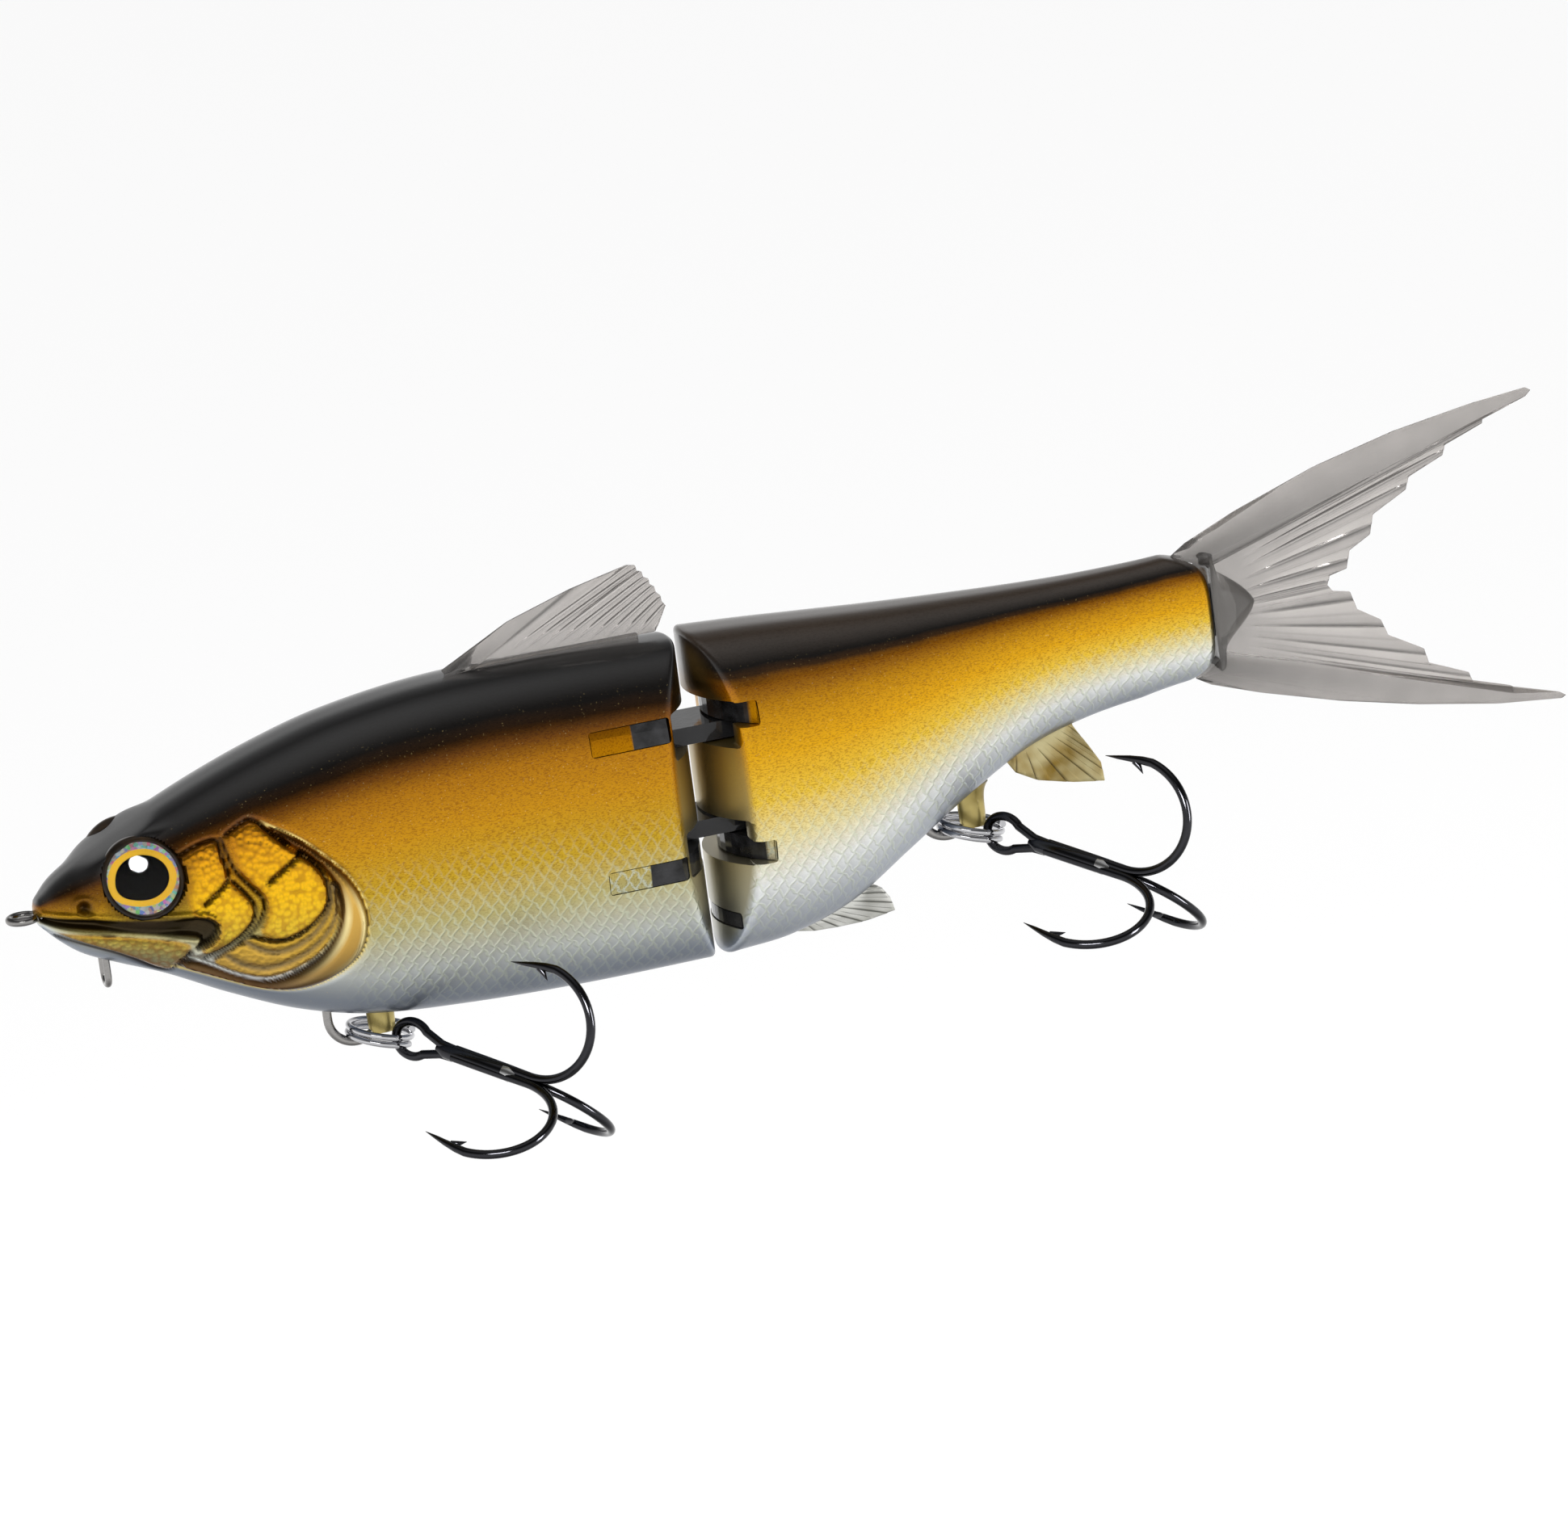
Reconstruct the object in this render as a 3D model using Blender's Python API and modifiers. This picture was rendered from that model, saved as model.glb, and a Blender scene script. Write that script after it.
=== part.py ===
"""Two-section jointed swimbait, in metres. Nose towards -X, back towards +Z, left flank towards -Y."""

from math import cos, pi, radians, sin

import bmesh
import bpy
from mathutils import Matrix, Vector

MM = 0.001
GAP = 0.25

# (distance from the nose, back height, belly height, half width), in millimetres
FRONT_STATIONS = [
    (0.2, 1.6, -2.0, 2.0),
    (2.0, 3.2, -3.9, 3.9),
    (4.5, 4.7, -5.9, 5.4),
    (8.5, 6.7, -7.8, 7.0),
    (14.0, 9.2, -10.2, 8.4),
    (21.3, 12.2, -14.1, 9.7),
    (29.5, 15.0, -17.8, 10.8),
    (38.0, 17.2, -20.1, 11.4),
    (50.0, 18.8, -21.2, 11.7),
    (65.0, 19.1, -21.7, 11.7),
    (84.0, 18.5, -21.6, 11.4),
]
REAR_STATIONS = [
    (80.0, 19.1, -21.8, 11.4),
    (84.0, 18.9, -21.5, 11.2),
    (91.0, 18.5, -20.8, 10.8),
    (99.0, 17.9, -18.3, 10.1),
    (107.0, 17.3, -13.4, 9.0),
    (115.6, 16.8, -8.0, 7.6),
    (124.0, 16.4, -3.6, 6.3),
    (132.0, 16.2, -1.4, 5.3),
    (141.0, 16.3, -0.2, 4.6),
    (149.0, 16.5, 0.5, 4.2),
]
BACK_POWER = 3.0
BELLY_POWER = 2.4
WALL = 2.4

# The two hinge pins, and the convex faces that meet between them.
FRONT_PIN_X = 73.5
REAR_PIN_X = 90.5
FACE_RADIUS = 16.0
FRONT_FACE_X = 81.5
REAR_FACE_X = 82.5
LINK_END_RADIUS = 4.4
# (bottom, top) of each link plate and of each insert that holds the pins
UPPER_LINK_Z = (5.8, 8.0)
LOWER_LINK_Z = (-5.9, -3.8)
UPPER_INSERT_Z = (8.3, 11.2)
LOWER_INSERT_Z = (-8.9, -6.2)
BUMPER_Z = (-17.4, -15.7)

EYE_X, EYE_Z = 12.1, 3.3
TAIL_PIN_X = 143.5
TAIL_ROOT_RADIUS = 4.3
TAIL_Z = 8.6

TIE_RADIUS = 0.5
TIE_WIRE_Z = -0.6
# The upper flat of the line tie, at its front: the whole lure is moved to put this at the origin.
TIE_FACE = (-3.4, 0.0, TIE_WIRE_Z + TIE_RADIUS * cos(pi / 8))

HANGER_RADIUS = 3.2
HANGER_WIRE = 0.57
BELLY_HANGER = (36.4, -20.5)
REAR_HANGER = (112.9, -9.8)
RING_FROM_HANGER = (2.95, -2.6)
RING_PITCH = radians(15.0)
RING_RADIUS = 3.85
RING_WIRE = 0.34
HOOK_YAW = radians(52.6)
HOOK_PITCH = radians(12.9)
HOOK_ROLL = radians(11.7)


def empty_scene():
    for old in list(bpy.data.objects):
        bpy.data.objects.remove(old)
    parts = bpy.data.collections.new("swimbait")
    cutters = bpy.data.collections.new("swimbait_cutters")
    cutters.hide_render = True
    bpy.context.scene.collection.children.link(parts)
    bpy.context.scene.collection.children.link(cutters)
    return parts, cutters


PARTS, CUTTERS = empty_scene()


def material(name, colour, metallic=0.0, roughness=0.4, alpha=1.0):
    made = bpy.data.materials.new(name)
    made.use_nodes = True
    shader = made.node_tree.nodes["Principled BSDF"]
    shader.inputs["Base Color"].default_value = (*colour, 1.0)
    shader.inputs["Metallic"].default_value = metallic
    shader.inputs["Roughness"].default_value = roughness
    shader.inputs["Alpha"].default_value = alpha
    return made


def tidied(mesh, turn_faces=True):
    """The mesh with doubled points merged and, for a shape with no hollow, every face turned outwards."""
    shape = bmesh.new()
    shape.from_mesh(mesh)
    bmesh.ops.remove_doubles(shape, verts=shape.verts, dist=2e-6)
    if turn_faces:
        bmesh.ops.recalc_face_normals(shape, faces=shape.faces)
    shape.to_mesh(mesh)
    shape.free()
    return mesh


def add(name, mesh, collection=None):
    made = bpy.data.objects.new(name, mesh)
    (collection or CUTTERS).objects.link(made)
    if collection is not PARTS:
        made.hide_render = True
        made.display_type = "WIRE"
    return made


def baked(source, name, turn_faces=True):
    """A new mesh object that holds the source with its modifiers applied."""
    bpy.context.view_layer.update()
    graph = bpy.context.evaluated_depsgraph_get()
    mesh = bpy.data.meshes.new_from_object(source.evaluated_get(graph))
    mesh.transform(source.matrix_world)
    return add(name, tidied(mesh, turn_faces))


def combine(target, other, operation):
    modifier = target.modifiers.new(f"{operation.lower()} {other.name}", "BOOLEAN")
    modifier.solver = "EXACT"
    modifier.operation = operation
    modifier.object = other


def cut(target, *others):
    for other in others:
        combine(target, other, "DIFFERENCE")


def finish(shape, name, look):
    """Bakes a shape into a visible part with its own material."""
    made = baked(shape, name + " baked")
    mesh = made.data
    mesh.materials.clear()
    mesh.materials.append(look)
    bpy.data.objects.remove(made)
    return add(name, mesh, PARTS)


def set_origin(obj, point):
    """Puts the object's origin on its joint axis without moving its shape."""
    centre = Vector(point) * MM
    obj.data.transform(Matrix.Translation(-centre))
    obj.location = centre


def prism(name, outline, low, high, axis="Z"):
    """A flat outline pushed along Z or Y. The outline is in XY or XZ."""
    shape = bmesh.new()
    if axis == "Z":
        bottom = [shape.verts.new(Vector((a, b, low)) * MM) for a, b in outline]
        push = Vector((0, 0, high - low)) * MM
    else:
        bottom = [shape.verts.new(Vector((a, low, b)) * MM) for a, b in outline]
        push = Vector((0, high - low, 0)) * MM
    face = shape.faces.new(bottom)
    top = bmesh.ops.extrude_face_region(shape, geom=[face])["geom"]
    bmesh.ops.translate(shape, verts=[v for v in top if isinstance(v, bmesh.types.BMVert)], vec=push)
    mesh = bpy.data.meshes.new(name)
    shape.to_mesh(mesh)
    shape.free()
    return add(name, tidied(mesh))


def block(name, low, high):
    outline = [(low[0], low[1]), (high[0], low[1]), (high[0], high[1]), (low[0], high[1])]
    return prism(name, outline, low[2], high[2])


def arc(centre, radius, start, end, count):
    """Points on an arc in a plane, with angles in degrees."""
    angles = [radians(start + (end - start) * k / (count - 1)) for k in range(count)]
    return [(centre[0] + radius * cos(a), centre[1] + radius * sin(a)) for a in angles]


def pin(name, x, y, low, high, radius, sides=20):
    return prism(name, arc((x, y), radius, 0, 360 - 360 / sides, sides), low, high)


def wire(name, points, radius, twist="MINIMUM"):
    """A round wire along the points. Its eight-sided section has a flat on each axis."""
    curve = bpy.data.curves.new(name, "CURVE")
    curve.dimensions = "3D"
    curve.twist_mode = twist
    curve.use_fill_caps = True
    section = bpy.data.curves.new(name + " section", "CURVE")
    section.dimensions = "2D"
    ring = section.splines.new("POLY")
    ring.points.add(7)
    for k, point in enumerate(ring.points):
        turn = 2 * pi * (k + 0.5) / 8
        point.co = (radius * MM * cos(turn), radius * MM * sin(turn), 0, 1)
    ring.use_cyclic_u = True
    guide = bpy.data.objects.new(name + " section", section)
    CUTTERS.objects.link(guide)
    curve.bevel_mode = "OBJECT"
    curve.bevel_object = guide
    line = curve.splines.new("POLY")
    line.points.add(len(points) - 1)
    for point, place in zip(line.points, points):
        point.co = (*(Vector(place) * MM), 1)
    source = bpy.data.objects.new(name + " curve", curve)
    CUTTERS.objects.link(source)
    made = baked(source, name)
    bpy.data.objects.remove(source)
    bpy.data.objects.remove(guide)
    return made


def at(stations, x):
    """(back, belly, half width) at x, by a smooth curve through the stations."""
    last = len(stations) - 2
    k = max([i for i in range(last + 1) if stations[i][0] <= x] or [0])
    before, here = stations[max(k - 1, 0)], stations[k]
    there, after = stations[k + 1], stations[min(k + 2, last + 1)]
    span = there[0] - here[0]
    t = (x - here[0]) / span
    found = []
    for n in (1, 2, 3):
        slope_here = (there[n] - before[n]) / (there[0] - before[0]) * span
        slope_there = (after[n] - here[n]) / (after[0] - here[0]) * span
        found.append(
            (2 * t**3 - 3 * t**2 + 1) * here[n]
            + (t**3 - 2 * t**2 + t) * slope_here
            + (3 * t**2 - 2 * t**3) * there[n]
            + (t**3 - t**2) * slope_there
        )
    return found


def power_of(value, power):
    return (1 if value > 0 else -1) * abs(value) ** (2 / power) if value else 0.0


def loft(name, stations, places, inset=0.0, sides=28):
    """A closed body through rounded sections, drawn in from the stations by the inset."""
    shape = bmesh.new()
    rings = []
    for x in places:
        back, belly, half = at(stations, x)
        middle = (back + belly) / 2
        height = (back - belly) / 2 - inset
        ring = []
        for k in range(sides):
            turn = 2 * pi * k / sides
            power = BACK_POWER if sin(turn) > 0 else BELLY_POWER
            y = (half - inset) * power_of(round(cos(turn), 9), power)
            z = middle + height * power_of(round(sin(turn), 9), power)
            ring.append(shape.verts.new(Vector((x, y, z)) * MM))
        rings.append(ring)
    for first, second in zip(rings, rings[1:]):
        for k in range(sides):
            j = (k + 1) % sides
            shape.faces.new((first[k], first[j], second[j], second[k]))
    shape.faces.new(rings[0])
    shape.faces.new(rings[-1])
    mesh = bpy.data.meshes.new(name)
    shape.to_mesh(mesh)
    shape.free()
    return add(name, tidied(mesh))


def spread(start, end, count):
    return [start + (end - start) * k / (count - 1) for k in range(count)]


# ---------------------------------------------------------------- joint


def slots(name, pin_x, towards):
    """The room for both links and for the open sides of the joint; towards is +1 for the front body."""
    near = pin_x - towards * 5.2
    face = pin_x + towards * 12.0
    low_x, high_x = sorted((near, face))
    mouth_low, mouth_high = sorted((pin_x + towards * 4.4, face))
    made = []
    for label, link, insert in (
        ("upper", UPPER_LINK_Z, UPPER_INSERT_Z),
        ("lower", LOWER_LINK_Z, LOWER_INSERT_Z),
    ):
        bottom = min(link[0], insert[0]) - GAP - 0.04
        top = max(link[1], insert[1]) + GAP + 0.04
        room = (low_x, -7.0, link[0] - GAP), (high_x, 7.0, link[1] + GAP)
        made.append(block(f"{name} {label} link room", *room))
        made.append(block(f"{name} {label} mouth", (mouth_low, -15, bottom), (mouth_high, 15, top)))
    return made


def link_plate(name, heights):
    outline = arc((REAR_PIN_X, 0), LINK_END_RADIUS, -90, 90, 11)
    outline += arc((FRONT_PIN_X, 0), LINK_END_RADIUS, 90, 270, 11)
    plate = prism(name + " blank", outline, *heights)
    cut(plate, PIN_HOLES["front"], PIN_HOLES["rear"])
    return finish(plate, name, material(name, (0.05, 0.05, 0.06), 0.0, 0.25))


def insert_outline(end, margin=0.0, to_face=False):
    """Plan of the smoke insert that carries a pin. The margin widens it into the room for it."""
    m = margin
    if to_face:
        face = arc((FRONT_FACE_X - FACE_RADIUS, 0), FACE_RADIUS - 0.1 + m * 3, -64, 64, 17)
        return [(67.5 - m, -14.3), *face, (67.5 - m, 14.3)]
    if end == "front":
        return [(67.5 - m, -15), (77.2 + m, -15), (77.2 + m, 15), (67.5 - m, 15)]
    outline = [(88.6 + m, -15), (88.6 + m, -7.2 - m), (94.2 + m, -7.2 - m)]
    outline += [(94.2 + m, 7.2 + m), (88.6 + m, 7.2 + m), (88.6 + m, 15)]
    centre = REAR_FACE_X + FACE_RADIUS
    radius = FACE_RADIUS - 1.9 + m
    outline += [(x, y) for x, y in arc((centre, 0), radius, 135, 225, 13)]
    return outline


def insert(name, end, heights, stations):
    look = material(name, (0.06, 0.06, 0.07), 0.0, 0.15, 0.85)
    places = spread(66, 83, 9) if end == "front" else spread(82, 96, 8)
    reaches_face = name == "front_lower_insert"
    plate = prism(name + " blank", insert_outline(end, to_face=reaches_face), *heights)
    combine(plate, loft(name + " flank", stations, places, 0.05), "INTERSECT")
    cut(plate, PIN_HOLES[end])
    return finish(plate, name, look)


PIN_HOLES = {
    "front": pin("front pin hole", FRONT_PIN_X, 0, -12.2, 14.2, 1.0),
    "rear": pin("rear pin hole", REAR_PIN_X, 0, -12.2, 14.2, 1.0),
}


def face_cutter(name, end):
    """What lies beyond the convex face of a body."""
    if end == "front":
        centre = FRONT_FACE_X - FACE_RADIUS
        outline = arc((centre, 0), FACE_RADIUS, -60, 60, 25) + [(99, 13.8), (99, -13.8)]
    else:
        centre = REAR_FACE_X + FACE_RADIUS
        outline = arc((centre, 0), FACE_RADIUS, 240, 120, 25) + [(70, 13.8), (70, -13.8)]
    return prism(name, outline, -40, 40)


def bumper_outline(margin=0.0):
    """Plan of the strip that cushions the lower part of the rear face."""
    centre = (REAR_FACE_X + FACE_RADIUS, 0)
    outer = arc(centre, FACE_RADIUS - 0.1 + margin * 4, 155, 205, 11)
    inner = arc(centre, FACE_RADIUS - 2.4 - margin, 205 + margin * 4, 155 - margin * 4, 11)
    return outer + inner


def make_joint():
    bumper = prism("lower bumper blank", bumper_outline(), *BUMPER_Z)
    finish(bumper, "lower_bumper", material("lower_bumper", (0.04, 0.04, 0.045), 0.0, 0.4))
    link_plate("upper_link", UPPER_LINK_Z)
    link_plate("lower_link", LOWER_LINK_Z)
    for end, stations in (("front", FRONT_STATIONS), ("rear", REAR_STATIONS)):
        insert(f"{end}_upper_insert", end, UPPER_INSERT_Z, stations)
        insert(f"{end}_lower_insert", end, LOWER_INSERT_Z, stations)
    steel = material("pin_steel", (0.7, 0.7, 0.72), 1.0, 0.25)
    for name, x in (("front_hinge_pin", FRONT_PIN_X), ("rear_hinge_pin", REAR_PIN_X)):
        made = finish(pin(name + " blank", x, 0, -12.0, 14.0, 0.8), name, steel)
        set_origin(made, (x, 0, 0))
    for name in ("upper_link", "lower_link"):
        set_origin(bpy.data.objects[name], (FRONT_PIN_X, 0, 0))


# ---------------------------------------------------------------- wires, rings and hooks


def hanger_path(centre, front_top, rear_top):
    x, z = centre
    turns = [radians(180 + 15 * k) for k in range(13)]
    bend = [(x + HANGER_RADIUS * cos(a), 0, z + HANGER_RADIUS * sin(a)) for a in turns]
    return [(x - HANGER_RADIUS, 0, front_top)] + bend + [(x + HANGER_RADIUS, 0, rear_top)]


def hanger_stub(name, centre, top):
    """The moulded post that the rear leg of a hanger comes out of."""
    x, z = centre
    outline = [(x + 3.3 + 1.7 * cos(a), 1.2 * sin(a)) for a in [2 * pi * k / 16 for k in range(16)]]
    return prism(name, outline, z - 2.6, top)


HANGERS = {
    "belly": (BELLY_HANGER, -17.0, -18.4),
    "rear": (REAR_HANGER, -9.2, -6.6),
}


def nose_path():
    loop = arc((-1.8, 0), 1.6, -35, -325, 20)
    z = TIE_WIRE_Z
    return [(7.0, -0.92, z)] + [(x, y, z) for x, y in loop] + [(7.0, 0.92, z)]


def chin_path():
    loop = arc((0, -9.3), 1.25, 180, 360, 12)
    return [(7.2, -1.25, -5.0)] + [(7.2, y, z) for y, z in loop] + [(7.2, 1.25, -5.0)]


def make_wires():
    steel = material("wire_steel", (0.62, 0.62, 0.64), 1.0, 0.25)
    finish(wire("line tie blank", nose_path(), TIE_RADIUS, twist="Z_UP"), "line_tie", steel)
    finish(wire("chin eye blank", chin_path(), 0.45), "chin_eye", steel)
    for end, (centre, front_top, rear_top) in HANGERS.items():
        path = hanger_path(centre, front_top, rear_top)
        finish(wire(f"{end} hanger blank", path, HANGER_WIRE), f"{end}_hanger", steel)


def ring_frame(hanger):
    """(centre, out, side, normal) of a resting split ring."""
    centre = Vector((hanger[0] + RING_FROM_HANGER[0], 0, hanger[1] + RING_FROM_HANGER[1]))
    out = Vector((cos(RING_PITCH), 0, -sin(RING_PITCH)))
    normal = Vector((sin(RING_PITCH), 0, cos(RING_PITCH)))
    return centre, out, Vector((0, -1, 0)), normal


def split_ring(name, hanger):
    """Two coils of wire, one on top of the other."""
    centre, out, side, normal = ring_frame(hanger)
    points = []
    count = 41
    for k in range(count):
        turn = 2 * pi * 1.97 * k / (count - 1) + 0.6
        height = 0.74 * (k / (count - 1) - 0.5) * 1.97
        points.append(centre + RING_RADIUS * (cos(turn) * out + sin(turn) * side) + height * normal)
    made = finish(wire(name + " blank", points, RING_WIRE), name, material(name, (0.8, 0.8, 0.82), 1.0, 0.12))
    set_origin(made, (hanger[0], 0, hanger[1]))


def hook_frame():
    """(shank, up, side) directions of a resting hook."""
    level = Vector((cos(HOOK_YAW), -sin(HOOK_YAW), 0))
    shank = cos(HOOK_PITCH) * level - sin(HOOK_PITCH) * Vector((0, 0, 1))
    rise = sin(HOOK_PITCH) * level + cos(HOOK_PITCH) * Vector((0, 0, 1))
    across = Vector((sin(HOOK_YAW), cos(HOOK_YAW), 0))
    up = cos(HOOK_ROLL) * rise + sin(HOOK_ROLL) * across
    return shank, up, shank.cross(up)


def bend_profile():
    """(along, out) of one hook wire, from the shank round to its point."""
    turns = [radians(-62 + 16 * k) for k in range(10)]
    round_part = [(20.0 + 7.6 * cos(a), 7.4 + 6.9 * sin(a)) for a in turns]
    return [(15.5, 0.55), (19.5, 0.75), (22.2, 1.15)] + round_part + [(18.6, 14.0), (14.6, 13.3)]


def hook(name, hanger):
    centre, out, side, _ = ring_frame(hanger)
    shank, up, across = hook_frame()
    on_ring = centre + RING_RADIUS * (cos(radians(50.9)) * out + sin(radians(50.9)) * side)
    eye_front = on_ring - 2.0 * shank

    def place(along, lateral, off=0.0):
        return eye_front + along * shank + lateral * up + off * across

    turns = [radians(-140 + 14 * k) for k in range(21)]
    loop = [place(3.1 - 2.5 * cos(a), 2.7 * sin(a)) for a in turns]
    eye = wire(name + " eye", [place(6.4, -0.45)] + loop + [place(6.4, 0.45)], 0.56)
    body = wire(name + " shank", [place(5.6, 0), place(21.0, 0)], 1.02)
    combine(body, eye, "UNION")
    for number in range(3):
        turn = 2 * pi * number / 3
        points = [place(a, r * cos(turn), r * sin(turn)) for a, r in bend_profile()]
        combine(body, wire(f"{name} bend {number}", points, 0.56), "UNION")
    made = finish(body, name, material(name, (0.03, 0.03, 0.035), 0.9, 0.3))
    set_origin(made, centre)


def make_tackle():
    for end, place in (("belly", BELLY_HANGER), ("rear", REAR_HANGER)):
        split_ring(f"{end}_split_ring", place)
        hook(f"{end}_treble_hook", place)


# ---------------------------------------------------------------- fins, eyes and weights


def dorsal_outline():
    back = [(x, at(FRONT_STATIONS, x)[0] + GAP) for x in spread(79.4, 54.0, 8)]
    tab = [(77.5, back[0][1]), (77.5, 17.3), (56.5, 17.3), (56.5, at(FRONT_STATIONS, 56.5)[0] + GAP)]
    edge = [(61.8, 23.9), (70.0, 26.4), (78.1, 28.0), (79.5, 26.3), (81.6, 21.8), (80.2, 19.8)]
    inner = [p for p in back if p[0] < 56.5]
    return tab + inner + edge


def pelvic_outline():
    belly = [(x, at(REAR_STATIONS, x)[1] - GAP) for x in (91.6, 94.5)]
    after = [(x, at(REAR_STATIONS, x)[1] - GAP) for x in (99.5, 102.4)]
    tab = [(94.5, -18.2), (99.5, -16.7)]
    rim = [(103.6, -17.6), (104.7, -19.2), (105.2, -21.0), (101.0, -21.7), (96.4, -21.6)]
    return belly + tab + after + rim


def anal_outline():
    before = [(x, at(REAR_STATIONS, x)[1] - GAP) for x in (121.2, 123.0)]
    after = [(x, at(REAR_STATIONS, x)[1] - GAP) for x in (128.6, 130.0)]
    tab = [(123.0, -2.5), (128.6, -0.7)]
    rim = [(131.6, -4.8), (133.2, -7.4), (133.6, -10.1), (129.4, -9.4), (125.0, -8.3), (122.3, -6.9)]
    return before + tab + after + rim


FIN_SLOTS = {
    "front": [((56.5 - GAP, 17.3 - GAP), (77.5 + GAP, 17.3 - GAP), (77.5 + GAP, 24), (56.5 - GAP, 24))],
    "rear": [
        ((94.5 - GAP, -18.2 + GAP), (99.5 + GAP, -16.7 + GAP), (99.5 + GAP, -26), (94.5 - GAP, -26)),
        ((123.0 - GAP, -2.5 + GAP), (128.6 + GAP, -0.7 + GAP), (128.6 + GAP, -9), (123.0 - GAP, -9)),
    ],
}


def tail_outline():
    """The forked tail, with a stepped trailing edge on each lobe."""
    upper = [(153.0, 19.3), (163.9, 23.3), (174.7, 26.3), (185.5, 28.1), (192.4, 28.7)]
    lower = [(158.2, -3.9), (168.4, -6.8), (179.2, -9.3), (187.9, -10.7), (192.8, -11.1)]
    notch = (165.4, 8.9)
    outline = [(149.4, 17.4)] + upper
    for tip, turn in ((upper[-1], 1), (lower[-1], -1)):
        steps = []
        for k in range(1, 7):
            near, far = (k - 0.25) / 7, k / 7
            steps.append([tip[n] + (notch[n] - tip[n]) * near for n in (0, 1)])
            steps[-1][0] += 0.9
            steps.append([tip[n] + (notch[n] - tip[n]) * far for n in (0, 1)])
        if turn > 0:
            outline += [tuple(p) for p in steps] + [notch]
        else:
            outline += [tuple(p) for p in reversed(steps)]
    return outline + list(reversed(lower)) + [(149.6, -0.6)]


def make_tail():
    look = material("tail_fin", (0.10, 0.10, 0.11), 0.0, 0.3, 0.7)
    blade = prism("tail blade", tail_outline(), -0.7, 0.7, "Y")
    inner = TAIL_ROOT_RADIUS + 0.3
    hub = arc((TAIL_PIN_X, 0), inner, -58, 58, 13)
    hub += [(151.5, 2.9), (157.5, 1.0), (157.5, -1.0), (151.5, -2.9)]
    combine(blade, prism("tail hub", hub, 0.9, 16.1), "UNION")
    tongue = arc((TAIL_PIN_X, 0), 1.9, 60, 300, 13) + [(150.0, -1.3), (150.0, 1.3)]
    combine(blade, prism("tail tongue", tongue, 5.4, 11.8), "UNION")
    cut(blade, pin("tail pin hole", TAIL_PIN_X, 0, 0, 17, 0.85))
    set_origin(finish(blade, "tail_fin", look), (TAIL_PIN_X, 0, TAIL_Z))
    steel = material("tail_pin", (0.7, 0.7, 0.72), 1.0, 0.25)
    finish(pin("tail pin blank", TAIL_PIN_X, 0, 3.6, 13.6, 0.6), "tail_pin", steel)


def make_fins():
    for name, outline, colour in (
        ("dorsal_fin", dorsal_outline(), (0.10, 0.10, 0.11)),
        ("pelvic_fin", pelvic_outline(), (0.55, 0.50, 0.30)),
        ("anal_fin", anal_outline(), (0.60, 0.55, 0.35)),
    ):
        finish(prism(name + " blank", outline, -0.6, 0.6, "Y"), name, material(name, colour, 0.2, 0.35, 0.9))


def eye_lathe(name, profile, side, look):
    """Turns (radius, depth) points about the eye's axis; depth runs outwards from the middle of the head."""
    mesh = bpy.data.meshes.new(name)
    edges = [(k, k + 1) for k in range(len(profile) - 1)]
    mesh.from_pydata([(r * MM, 0, d * MM) for r, d in profile], edges, [])
    turned = add(name + " profile", mesh)
    screw = turned.modifiers.new("turn", "SCREW")
    screw.steps = screw.render_steps = 24
    screw.use_merge_vertices = True
    screw.merge_threshold = 0.00001
    turned.matrix_world = Matrix.Translation(Vector((EYE_X, 0, EYE_Z)) * MM) @ Matrix.Rotation(
        radians(-90 * side), 4, "X"
    )
    return finish(turned, name, look)


def make_eyes():
    clear = material("eye_lens", (0.9, 0.9, 0.85), 0.0, 0.05, 0.5)
    foil = material("eye_iris", (0.75, 0.75, 0.78), 1.0, 0.2)
    dome = [(4.55 * sin(a), 6.3 + 2.3 * cos(a)) for a in [radians(15 * k) for k in range(7)]]
    for label, side in (("left", -1), ("right", 1)):
        eye_lathe(f"{label}_eye_lens", [*dome, (4.55, 5.75), (0, 5.75)], side, clear)
        eye_lathe(f"{label}_iris", [(0, 5.5), (4.2, 5.5), (4.2, 4.95), (0, 4.95)], side, foil)


def make_weights():
    lead = material("ballast", (0.25, 0.25, 0.27), 0.8, 0.5)
    outline = arc((0, 0), 3.1, 0, 345, 24)
    rod = prism("front ballast blank", outline, 44, 58)
    rod.matrix_world = Matrix.Translation(Vector((0, 0, -14.9)) * MM) @ Matrix.Rotation(radians(90), 4, "Y")
    finish(rod, "front_ballast", lead)
    ball = prism("rear ballast blank", arc((100.0, 0), 2.3, 0, 345, 24), -12.8, -8.6)
    finish(ball, "rear_ballast", lead)


# ---------------------------------------------------------------- bodies


def split(master, name, colour):
    """The left and right halves of a body, which meet along its middle."""
    for label, low, high in (("left", -0.02, 40), ("right", -40, 0.02)):
        half = baked(master, f"{name} {label} blank", False)
        cut(half, block(f"{name} {label} side", (-20, low, -60), (220, high, 60)))
        finish(half, f"{name}_{label}", material(f"{name}_{label}", colour, 0.4, 0.3))


def wire_holes(ends):
    made = []
    for end in ends:
        centre, front_top, rear_top = HANGERS[end]
        path = hanger_path(centre, front_top + GAP, rear_top + GAP)
        made.append(wire(f"{end} hanger hole", path, HANGER_WIRE + 0.1))
    return made


def cut_insert_rooms(body, end):
    for label, heights in (("upper", UPPER_INSERT_Z), ("lower", LOWER_INSERT_Z)):
        outline = insert_outline(end, 0.15, end == "front" and label == "lower")
        room = (heights[0] - GAP, heights[1] + GAP)
        cut(body, prism(f"{end} {label} insert room", outline, *room))


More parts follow.
